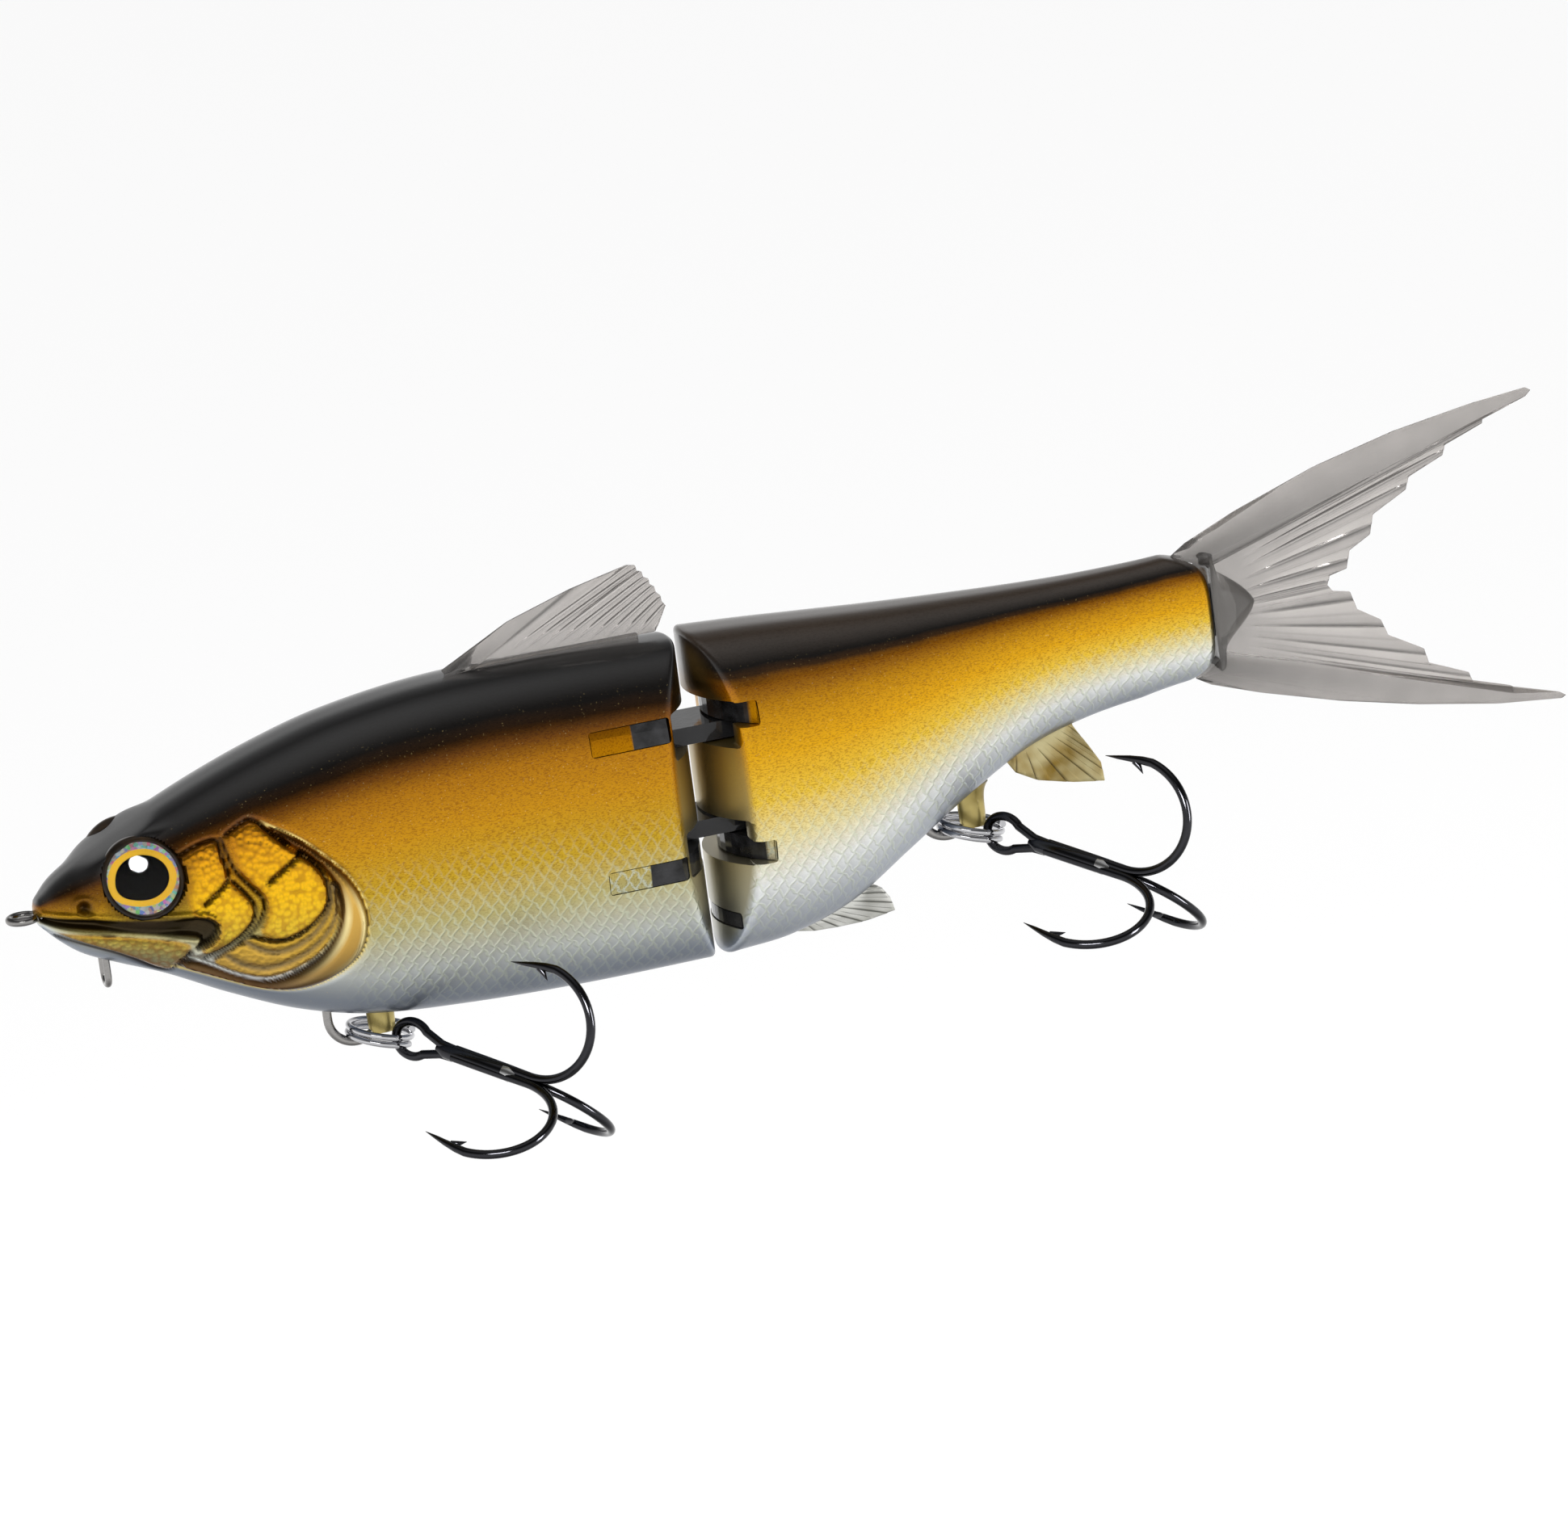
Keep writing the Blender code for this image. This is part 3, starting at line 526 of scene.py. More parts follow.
def rear_shell():
    rings = end_rings(REAR_STATIONS, 96.0, -1, REAR_FACE_X, FACE_RADIUS, FACE_FILLET, 24)[::-1]
    xs = np.linspace(96, 139, 90)
    rings += [flat_ring(REAR_STATIONS, x) for x in xs]
    rings += end_rings(REAR_STATIONS, 139.0, 1, TAIL_FACE_X, TAIL_FACE_RADIUS, 0.9, 12, (4.7, 3.7))
    shell = new_object("rear_shell", *skin(rings))
    cut(shell, *slot_boxes(REAR_PIN_X, -1))
    for heights in (UPPER_INSERT_Z, LOWER_INSERT_Z):
        cut(shell, ((82.0, -16, heights[0] - 0.1), (88.7, 16, heights[1] + 0.1)))
        cut(shell, ((82.0, -7.5, heights[0] - GAP), (94.5, 7.5, heights[1] + GAP)))
    cut(shell, BUMPER_SLOT, TONGUE_SLOT)
    mark_paint(shell, REAR_STATIONS)
    paint = body_paint("rear_paint", REAR_BANDS)
    dress(shell, "rear", "body", paint, "rear_body_left", "rear_body_right")


def dress(obj, body, slot, material, *replaced):
    """Hangs a piece on its CAD body with its material, in place of the CAD nodes in replaced."""
    obj.data.materials.clear()
    obj.data.materials.append(material)
    if replaced:
        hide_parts(*replaced)
    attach(obj, body)
    return obj


# ---------------------------------------------------------------- materials


class Tree:
    """A short way to write a node tree."""

    def __init__(self, tree):
        self.tree = tree

    def add(self, kind, inputs=(), **settings):
        node = self.tree.nodes.new("ShaderNode" + kind)
        for key, value in settings.items():
            setattr(node, key, value)
        for key, value in dict(inputs).items():
            self.plug(node.inputs[key], value)
        return node

    def plug(self, socket, value):
        if isinstance(value, bpy.types.NodeSocket):
            self.tree.links.new(value, socket)
        else:
            socket.default_value = value

    def ramp(self, value, stops):
        node = self.add("ValToRGB", {"Fac": value})
        points = node.color_ramp.elements
        while len(points) < len(stops):
            points.new(0.5)
        for point, (place, colour) in zip(points, stops):
            point.position = place
            point.color = (*colour, 1.0)
        return node.outputs["Color"]


class Nodes(Tree):
    """The node tree of a new material with one main shader."""

    def __init__(self, name):
        self.material = bpy.data.materials.new(name)
        self.material.use_nodes = True
        super().__init__(self.material.node_tree)
        self.shader = self.tree.nodes["Principled BSDF"]

    def set(self, **values):
        for key, value in values.items():
            self.plug(self.shader.inputs[key.replace("_", " ")], value)

    def math(self, operation, a, b=0.0):
        return self.add("Math", {0: a, 1: b}, operation=operation).outputs[0]

    def times(self, a, b):
        return self.math("MULTIPLY", a, b)

    def plus(self, a, b):
        return self.math("ADD", a, b)

    def minus(self, a, b):
        return self.math("SUBTRACT", a, b)

    def most(self, a, b):
        return self.math("MAXIMUM", a, b)

    def mix(self, share, a, b, blend="MIX"):
        inputs = {"Factor": share, 6: a, 7: b}
        return self.add("Mix", inputs, data_type="RGBA", blend_type=blend).outputs[2]

    def attribute(self, name):
        return self.add("Attribute", attribute_name=name).outputs["Fac"]

    def place(self):
        """Object coordinates in millimetres, which stay on the piece in every pose."""
        where = self.add("TexCoord").outputs["Object"]
        return self.add("VectorMath", {0: where, "Scale": 1000}, operation="SCALE").outputs[0]

    def axes(self):
        return self.add("SeparateXYZ", {"Vector": self.place()}).outputs

    def cells(self, scale):
        return self.add("TexVoronoi", {"Vector": self.place(), "Scale": scale}).outputs

    def noise(self, scale, detail=2.0, roughness=0.5, stretch=None):
        where = self.place()
        if stretch:
            mapping = self.add("Mapping", {"Vector": where, "Scale": stretch})
            where = mapping.outputs[0]
        inputs = {"Vector": where, "Scale": scale, "Detail": detail, "Roughness": roughness}
        return self.add("TexNoise", inputs).outputs["Fac"]

    def bump(self, height, strength, distance, normal=None):
        node = self.add("Bump", {"Height": height, "Strength": strength, "Distance": distance * 0.001})
        if normal:
            self.plug(node.inputs["Normal"], normal)
        return node.outputs["Normal"]


def srgb(red, green, blue):
    """A colour given as 0 to 255 display values, as linear light."""
    shares = (red / 255, green / 255, blue / 255)
    return tuple(((c + 0.055) / 1.055) ** 2.4 if c > 10 / 255 else c / 12.92 for c in shares)


def rgba(red, green, blue):
    return (*srgb(red, green, blue), 1)


# (height from the belly to the back, colour)
FRONT_BANDS = [
    (0.00, srgb(100, 108, 122)),
    (0.08, srgb(152, 160, 172)),
    (0.18, srgb(206, 210, 206)),
    (0.33, srgb(188, 178, 118)),
    (0.46, srgb(198, 162, 34)),
    (0.62, srgb(202, 144, 3)),
    (0.76, srgb(188, 124, 2)),
    (0.82, srgb(138, 82, 4)),
    (0.865, srgb(52, 31, 8)),
    (0.90, srgb(14, 11, 9)),
    (1.00, srgb(12, 12, 13)),
]
REAR_BANDS = [
    (0.00, srgb(112, 120, 134)),
    (0.09, srgb(190, 196, 204)),
    (0.24, srgb(240, 242, 240)),
    (0.38, srgb(232, 218, 158)),
    (0.50, srgb(234, 196, 60)),
    (0.64, srgb(228, 170, 6)),
    (0.78, srgb(208, 146, 3)),
    (0.855, srgb(184, 116, 4)),
    (0.885, srgb(62, 38, 9)),
    (0.91, srgb(14, 11, 9)),
    # Painted sheen: the top stop lightens the black back to a brownish grey.
    (1.00, srgb(44, 35, 27)),
]
PLATE_BANDS = [
    (0.12, srgb(150, 146, 108)),
    (0.30, srgb(206, 178, 50)),
    (0.50, srgb(244, 190, 12)),
    (0.85, srgb(226, 146, 6)),
]
RIM_BANDS = [
    (0.12, srgb(110, 92, 66)),
    (0.30, srgb(190, 150, 70)),
    (0.50, srgb(214, 170, 76)),
    (0.68, srgb(120, 72, 12)),
]
CHAMPAGNE_BANDS = [
    (0.10, srgb(196, 194, 178)),
    (0.60, srgb(184, 164, 104)),
    (0.88, srgb(84, 66, 34)),
]


def scale_net(n):
    """(outline, painted shade) of overlapping scales, each 0 to 1; the second is a painted gradient, darker
    at one end of each scale and lighter at the other.
    """
    x, _, z = n.axes()
    wander = n.minus(n.noise(0.35), 0.5)
    jitter = n.minus(n.noise(1.1, 1.0), 0.5)
    along = n.plus(n.math("DIVIDE", x, 1.7), n.times(wander, 0.7))
    up = n.plus(n.math("DIVIDE", z, 2.5), n.times(wander, 0.5))
    along = n.plus(along, n.times(jitter, 0.22))
    along = n.plus(along, n.times(n.math("SINE", n.times(up, 4 * pi)), 0.06))
    shares = []
    for direction in (1.0, -1.0):
        shares.append(n.math("FRACT", n.plus(n.times(up, direction), along)))
    lines = [n.math("ABSOLUTE", n.minus(share, 0.5)) for share in shares]
    nearest = n.most(*lines)
    node = n.add("MapRange", {"Value": nearest, "From Min": 0.32, "From Max": 0.49})
    node.interpolation_type = "SMOOTHSTEP"
    return node.outputs[0], n.times(n.plus(*shares), 0.5)


def span(n, value, low, high):
    """0 to 1 as the value goes from low to high."""
    return n.add("MapRange", {"Value": value, "From Min": low, "From Max": high}).outputs[0]


def flank_colour(n, height, bands, grain, lustre):
    """Soft bands with a fine grain and sparkling flakes."""
    wander = n.times(n.minus(n.noise(0.12), 0.5), 0.03)
    colour = n.ramp(n.plus(height, wander), bands)
    speckle = n.ramp(grain, [(0.38, (0.66, 0.58, 0.44)), (0.52, (1.0, 1.0, 1.0))])
    colour = n.mix(span(n, height, 0.2, 0.45), colour, speckle, "MULTIPLY")
    spark = n.times(span(n, n.cells(7.0)["Color"], 0.88, 0.98), n.times(lustre, 0.28))
    return n.mix(spark, colour, rgba(255, 226, 150))


def add_scales(n, colour, height, carved):
    """(colour, outline) with scales low on the flank, behind the head and off the carved parts."""
    net, painted_scale_shade = scale_net(n)
    x = n.axes()[0]
    area = n.times(span(n, height, 0.56, 0.30), span(n, height, 0.03, 0.14))
    area = n.times(n.times(area, span(n, x, 37.0, 43.0)), n.minus(1.0, carved))
    # Painted shade and highlight: each scale is darkened at one end and lightened at the other.
    painted_scale_shades = n.mix(painted_scale_shade, (0.7, 0.7, 0.7, 1), (1.3, 1.3, 1.3, 1))
    colour = n.mix(n.times(area, 0.5), colour, painted_scale_shades, "MULTIPLY")
    outline = n.times(net, area)
    patch = n.plus(n.times(n.noise(0.8), 0.5), 0.15)
    return n.mix(n.times(outline, patch), colour, rgba(214, 222, 196)), outline


def plate_gold(n, height, pebbles):
    """Gold of the plates, with painted shade browning their edges and the hollows where pebbles meet."""
    gill = n.attribute("gill")
    gold = n.ramp(height, PLATE_BANDS)
    # Painted shade: browner towards the plates' edges.
    gold = n.mix(n.times(n.attribute("plate_edge_shade"), 0.55), gold, rgba(150, 84, 8))
    gold = n.mix(gill, gold, rgba(212, 164, 34))
    # Painted shade in the hollows where pebbles meet.
    painted_seam_shade = n.times(span(n, pebbles, 0.42, 0.75), 0.5)
    return n.mix(n.times(painted_seam_shade, n.minus(1.0, gill)), gold, rgba(150, 92, 8))


def rim_bronze(n, height):
    """Bronze of the gill rim, with painted shade darkening it towards its edges and a painted highlight along
    its ridge.
    """
    depth = n.attribute("rim_depth")
    # Painted shade: darker bronze towards both edges of the rim.
    bronze = n.mix(span(n, depth, 1.3, 0.2), n.ramp(height, RIM_BANDS), rgba(84, 52, 14))
    # Painted highlight: a pale gold band along the rim's ridge, low on the head.
    painted_crest_highlight = n.times(span(n, depth, 0.3, 0.75), span(n, depth, 1.4, 0.9))
    painted_crest_highlight = n.times(painted_crest_highlight, n.times(span(n, height, 0.18, 0.32), span(n, height, 0.52, 0.40)))
    return n.mix(n.times(painted_crest_highlight, 0.8), bronze, rgba(255, 236, 168))


def body_paint(name, bands):
    """Metallic paint in soft bands under lacquer, with scales low on the flank and a carved golden head."""
    n = Nodes(name)
    height = n.attribute("height")
    inner, plates, rim = (n.attribute(part) for part in ("inner", "plates", "rim"))
    grain = n.noise(5.5, 2.0, 0.7, (0.5, 1.0, 1.3))
    lustre = n.times(span(n, height, 0.93, 0.86), 0.92)
    colour = flank_colour(n, height, bands, grain, lustre)
    colour, outline = add_scales(n, colour, height, n.most(inner, rim))
    eye_shade = n.times(span(n, n.attribute("eye"), 7.0, 4.6), 0.75)
    shade = n.most(eye_shade, n.times(n.attribute("snout"), 0.62))
    colour = n.mix(n.times(shade, span(n, height, 0.93, 0.85)), colour, rgba(46, 26, 6))
    pebbling = {"Vector": n.place(), "Scale": 1.5, "Smoothness": 0.4}
    pebbles = n.add("TexVoronoi", pebbling, feature="SMOOTH_F1").outputs["Distance"]
    colour = n.mix(n.times(plates, n.minus(0.95, eye_shade)), colour, plate_gold(n, height, pebbles))
    colour = n.mix(rim, colour, rim_bronze(n, height))
    # Painted shadow in grey along the crescent grooves between the gill plate and the rim.
    colour = n.mix(n.times(n.attribute("crescents"), 0.8), colour, rgba(92, 82, 66))
    colour = n.mix(n.attribute("rim_line"), colour, rgba(250, 226, 140))
    colour = n.mix(n.times(inner, 0.9), colour, n.ramp(height, CHAMPAGNE_BANDS))
    colour = n.mix(n.times(n.attribute("dark"), 0.96), colour, rgba(30, 17, 4))
    carved = n.most(rim, plates)
    normal = n.bump(n.times(grain, n.minus(1.0, carved)), 0.10, 0.05)
    normal = n.bump(n.times(pebbles, plates), 0.55, 0.22, normal)
    normal = n.bump(outline, 0.35, 0.12, normal)
    roughness = n.minus(0.36, n.times(carved, 0.16))
    n.set(Base_Color=colour, Metallic=lustre, Roughness=roughness, Normal=normal, Specular_IOR_Level=0.3)
    n.set(Coat_Weight=n.plus(0.22, n.times(span(n, height, 0.8, 0.9), 0.5)), Coat_Roughness=0.12)
    return n.material


def smoke(name, tint, rough=0.12, through=0.9):
    """Translucent grey plastic with faint clouding and fine specks."""
    n = Nodes(name)
    cloud = n.noise(0.25, 3.0)
    colour = n.ramp(cloud, [(0.3, tuple(c * 0.86 for c in tint)), (0.75, tint)])
    # Painted shade in the fin's valleys and painted highlight on its raised rays, from the rib attribute.
    rib = n.attribute("rib")
    colour = n.mix(n.most(rib, 0.0), colour, (*(c * 0.30 for c in tint), 1))
    colour = n.mix(n.most(n.times(rib, -1.0), 0.0), colour, (*(min(c * 1.9, 1) for c in tint), 1))
    speck = span(n, n.cells(1.6)["Distance"], 0.05, 0.02)
    colour = n.mix(n.times(speck, 0.5), colour, (0.03, 0.03, 0.03, 1))
    n.set(Base_Color=colour, Roughness=rough, IOR=1.25, Transmission_Weight=through, Coat_Weight=0.3)
    n.set(Normal=n.bump(n.noise(1.4), 0.12, 0.1))
    return n.material


def metal(name, colour, rough, scratch=0.06):
    """Bare metal with fine drawing marks."""
    n = Nodes(name)
    marks = n.noise(6.0, 3.0, 0.6, (0.25, 1.0, 1.0))
    n.set(Base_Color=n.ramp(marks, [(0.25, tuple(c * 0.8 for c in colour)), (0.75, colour)]), Metallic=1.0)
    n.set(Roughness=n.plus(n.times(marks, scratch), rough), Normal=n.bump(marks, 0.08, 0.03))
    return n.material


def fin_paint(name, low, high):
    """Pearl paint, with painted shade darkening the valleys between the rays."""
    n = Nodes(name)
    colour = n.ramp(n.noise(0.25, 2.0), [(0.35, low), (0.65, high)])
    rib = n.attribute("rib")
    # Painted shade in the valleys between the rays.
    colour = n.mix(n.times(n.most(rib, 0.0), 0.8), colour, (*(c * 0.2 for c in low), 1))
    n.set(Base_Color=colour, Metallic=0.75, Roughness=0.34, Coat_Weight=0.3)
    n.set(Normal=n.bump(n.noise(6.0), 0.1, 0.05))
    return n.material


# ---------------------------------------------------------------- lights


def area_light(name, place, target, width, height, power):
    """A light panel aimed at a point. Sizes and places here are in metres of the row frame."""
    light = bpy.data.lights.new(name, "AREA")
    light.shape = "RECTANGLE"
    light.size, light.size_y = width, height
    light.energy = power
    made = link_object(name, light)
    made.location = place
    made.rotation_euler = (Vector(target) - Vector(place)).to_track_quat("-Z", "Y").to_euler()
    return made


def light_only(light, pieces):
    """Makes a light shine on these pieces and nothing else."""
    lit = bpy.data.collections.new(light.name + "_lit")
    for piece in pieces:
        lit.objects.link(piece)
    light.light_linking.receiver_collection = lit


# ---------------------------------------------------------------- eyes


def lathe(name, profile, side, steps=96):
    """Turns (radius, depth) points about the eye's axis, with depth out from the middle of the head."""
    rings = []
    for radius, depth in profile:
        turn = np.linspace(0, 2 * pi, steps, endpoint=False)
        x, z = radius * np.cos(turn), radius * np.sin(turn)
        tilted = depth + x * EYE_TURN - z * EYE_TILT
        rings.append(np.column_stack([EYE_X + x, side * tilted, EYE_Z + z]))
    return new_object(name, *skin(rings))


def iris_look(name):
    """Black pupil, thin yellow ring, then holographic foil, by distance from the eye's middle."""
    n = Nodes(name)
    centre = tuple(placed([(EYE_X, 0, EYE_Z)])[0] * 1000)
    where = n.add("VectorMath", {0: n.place(), 1: centre}, operation="SUBTRACT")
    parts = n.add("SeparateXYZ", {"Vector": where.outputs[0]})
    x = n.math("DIVIDE", parts.outputs[0], 1.19)
    z = parts.outputs[2]
    away = n.math("SQRT", n.plus(n.times(x, x), n.times(z, z)))
    lower_front = n.plus(n.times(x, -0.85), n.times(z, -0.53))
    point = n.math("POWER", n.most(n.math("DIVIDE", lower_front, away), 0.0), 8.0)
    away = n.minus(away, n.times(point, 0.30))
    foil = n.add("HueSaturation", {"Color": n.cells(2.4)["Color"], "Saturation": 1.1, "Value": 0.55})
    silver = n.mix(0.6, foil.outputs[0], rgba(84, 92, 96))
    yellow = n.mix(span(n, away, 3.28, 3.34), rgba(176, 136, 14), silver)
    black = span(n, away, 2.58, 2.66)
    colour = n.mix(black, (0.001, 0.001, 0.001, 1), yellow)
    n.set(Base_Color=colour, Metallic=n.times(black, 0.5), Roughness=0.3)
    n.set(Specular_IOR_Level=n.times(black, 0.4))
    return n.material


def clear_look():
    n = Nodes("eye_clear")
    n.set(Base_Color=(1, 1, 1, 1), Roughness=n.times(n.noise(0.5), 0.02), IOR=1.16)
    n.set(Transmission_Weight=1.0)
    return n.material


def socket_look():
    n = Nodes("eye_socket_paint")
    colour = n.ramp(n.noise(0.6, 2.0), [(0.3, srgb(12, 10, 8)), (0.8, srgb(46, 32, 14))])
    n.set(Base_Color=colour, Metallic=0.3, Roughness=0.3)
    n.set(Coat_Weight=0.3, Coat_Roughness=0.1, Specular_IOR_Level=0.2)
    return n.material


def make_eyes():
    clear, foil, rim = clear_look(), iris_look("eye_foil"), socket_look()
    dome = [(4.25 * sin(a), 6.75 + 1.2 * cos(a)) for a in turns(1, 90, 16)]
    cup = [
        (3.6, 5.0), (4.28, 5.2), (4.3, 7.0), (4.42, 7.12), (4.58, 7.15), (4.78, 7.05), (4.95, 6.7),
        (4.9, 6.2), (4.6, 4.8),
    ]
    for label, side in (("left", -1), ("right", 1)):
        lens = lathe(f"{label}_eye_dome", [*dome, (4.25, 6.62), (0.05, 6.62)], side)
        dress(lens, "front", "lens", clear, f"{label}_eye_lens")
        disc = lathe(f"{label}_eye_foil", [(0.05, 6.5), (4.2, 6.5), (4.2, 6.1), (0.05, 6.1)], side)
        dress(disc, "front", "iris", foil, f"{label}_iris")
        dress(lathe(f"{label}_eye_socket", cup, side), "front", "body", rim)
        eye_light(lens, side)


def eye_light(lens, side):
    """A round light that only the eye's dome reflects, as one soft spot."""
    eye = Vector(placed([(EYE_X, side * 7.0, EYE_Z)])[0])
    place = eye + 0.4 * Vector(EYE_LIGHT) * Vector((1, -side, 1))
    made = area_light(lens.name + "_spot", place, eye, 0.13, 0.13, 14.0)
    made.data.shape = "DISK"
    made.visible_transmission = False
    light_only(made, [lens])


# ---------------------------------------------------------------- fins


def along(line, share):
    """The point a share of the way along a line, by its length."""
    line = np.array(line, float)
    length = np.concatenate([[0], np.cumsum(np.linalg.norm(np.diff(line, axis=0), axis=1))])
    return np.array([np.interp(share * length[-1], length, line[:, n]) for n in (0, 1)])


def by_corner(line, share):
    """The point a share of the way through a line's corners, each piece counting the same."""
    line = np.array(line, float)
    places = np.linspace(0, 1, len(line))
    return np.array([np.interp(share, places, line[:, n]) for n in (0, 1)])


def fan(name, roots, edge, thickness, ridge, lead, first, period, across=180, outward=44):
    """A thin ribbed fin. Rays run from the root line to the outer edge, each one stepped over the next.

    Past the edge's corner number first, one ray ends every period corners. Before it the fin is a smooth,
    thicker leading band.
    """
    front, back, painted_shade_and_highlight = [], [], []
    corners = len(edge) - 1
    for v in np.linspace(0, 1, across):
        root, tip = along(roots, v), by_corner(edge, v)
        past = (v * corners - first) / period
        step = past % 1.0 if past > 0 else 0.0
        fine = (past * 2) % 1.0 if past > 0 else 0.0
        band = sin(pi * min(v * corners / max(first, 0.01), 1)) ** 0.7 if past < 0 else 0.0
        for u in np.linspace(0, 1, outward):
            x, z = root + (tip - root) * u
            shown = smooth(0.05, 0.5, u) * (1.0 - 0.25 * smooth(0.8, 1, u))
            rib = ridge * (step**1.6 + 0.25 * fine) * shown
            # Painted light for the rays: painted shade along the line where each ray steps over the next, a
            # painted highlight on each ray's raised part, and painted shadow on the leading band near its
            # root.
            line = max(0.0, 1 - step / 0.16) if past > 0 else 0.0
            shadow = 0.8 * (1 - u) ** 2 * band
            painted_shade_and_highlight.append(shadow + shown * (line + 0.30 * max(0.0, 1 - fine / 0.35) * (past > 0) - 0.45 * step))
            border = min(1.0, 12 * min(u + 0.05, 1 - u + 0.03, v + 0.03, 1 - v + 0.03))
            half = (thickness * (1 - 0.35 * u) / 2 + rib + lead * band * (1 - u) ** 0.9) * border**0.5
            front.append((x, -half, z))
            back.append((x, half, z))
    made = new_object(name, np.array(front + back), sheet_faces(across, outward), 30)
    set_attribute(made, "rib", painted_shade_and_highlight * 2)
    return made


def sheet_faces(across, outward):
    """Faces of a closed plate: a grid of points in front, the same behind, and a band round their border."""
    count = across * outward
    faces = []
    for i in range(across - 1):
        for j in range(outward - 1):
            a = i * outward + j
            quad = (a, a + 1, a + outward + 1, a + outward)
            faces += [quad, tuple(count + k for k in reversed(quad))]
    border = [i * outward for i in range(across)]
    border += [(across - 1) * outward + j for j in range(1, outward)]
    border += [i * outward + outward - 1 for i in range(across - 2, -1, -1)]
    border += list(range(outward - 2, 0, -1))
    for a, b in zip(border, border[1:] + border[:1]):
        faces.append((a, b, count + b, count + a))
    return faces


def hub_reach(z):
    """How far back the tail's hub reaches at each height."""
    return TAIL_FACE_X + 1.1 + 4.8 * max(0.0, 1 - abs((z - 8.7) / 4.9) ** 1.5)


def tail_hub():
    """The rounded wedge that joins the soft tail to the body's end."""
    front, flank = TAIL_FACE_X + 0.45, TAIL_FACE_X + 0.5
    rings = []
    for z in np.linspace(1.0, 15.6, 60):
        pinch = max(0.0, 1 - abs((z - 8.3) / 7.4) ** 6) ** 0.5
        wide = max(0.4, 4.0 * pinch)
        ring = []
        for y in np.linspace(-wide, wide, 17):
            ring.append((front - TAIL_FACE_RADIUS + (TAIL_FACE_RADIUS**2 - y * y) ** 0.5, y, z))
        for share in np.linspace(1, -1, 33)[1:-1]:
            ring.append((flank + (hub_reach(z) - flank) * (1 - abs(share) ** 1.3), share * wide * 0.98, z))
        rings.append(np.array(ring))
    return new_object("tail_hub", *skin(rings), 60)


def tail_tongue():
    rings = []
    for z in (5.5, 11.7):
        arc = [(TAIL_PIN_X + 1.9 * cos(a), 1.9 * sin(a), z) for a in turns(45, 315, 24)]
        rings.append(np.array(arc + [(149.5, -0.9, z), (149.5, 0.9, z)]))
    return new_object("tail_tongue", *skin(rings), 40)


def make_tail(look):
    root = [(145.2, 16.2), (149.2, 14.4), (151.2, 12.0), (152.2, 8.6)]
    low_root = [(146.6, 0.4), (150.0, 2.8), (151.5, 5.4), (152.2, 8.6)]
    lead = [
        (147.2, 17.5), (153.9, 20.3), (164.6, 23.9), (175.2, 26.4), (185.6, 28.0), (192.8, 28.7),
        (193.4, 28.3),
    ]
    steps = [
        (192.6, 27.6), (186.9, 26.1), (186.7, 25.3), (181.6, 23.5), (181.2, 22.3), (176.5, 20.4),
        (176.0, 18.9), (171.4, 16.6), (170.8, 14.2), (167.9, 12.7), (167.3, 10.5), (165.0, 10.0),
        (164.6, 8.9),
    ]
    low_lead = [
        (148.4, -0.7), (154.5, -2.9), (164.5, -5.9), (174.5, -8.3), (184.7, -10.2), (193.0, -11.1),
        (193.6, -10.8),
    ]
    low_steps = [
        (192.9, -10.3), (186.9, -9.3), (186.8, -8.3), (181.8, -6.9), (181.4, -5.5), (176.4, -3.3),
        (176.0, -1.4), (171.6, 1.2), (170.9, 3.3), (168.0, 5.2), (167.4, 7.5), (165.2, 8.0),
        (164.6, 8.9),
    ]
    pieces = [
        fan("tail_upper_lobe", root, lead + steps, 0.8, 0.3, 1.3, 8.5, 2.0, 260, 70),
        fan("tail_lower_lobe", low_root, low_lead + low_steps, 0.8, 0.3, 1.1, 8.5, 2.0, 260, 70),
        tail_hub(),
        tail_tongue(),
    ]
    thick = smoke("thick_smoke", (0.17, 0.16, 0.15), 0.1, 0.6)
    dress(pieces[0], "tail", "fin", look, "tail_fin")
    for piece, plastic in zip(pieces[1:], (look, thick, thick)):
        dress(piece, "tail", "fin", plastic)


def fin_tab(name, low, high, body, slot, look):
    """The moulded root of a fin, which sits in its slot."""
    corners = [(low[0], -0.55), (high[0], -0.55), (high[0], 0.55), (low[0], 0.55)]
    rings = [np.array([(x, y, z) for x, y in corners]) for z in (low[1], high[1])]
    dress(new_object(name, *skin(rings)), body, slot, look)


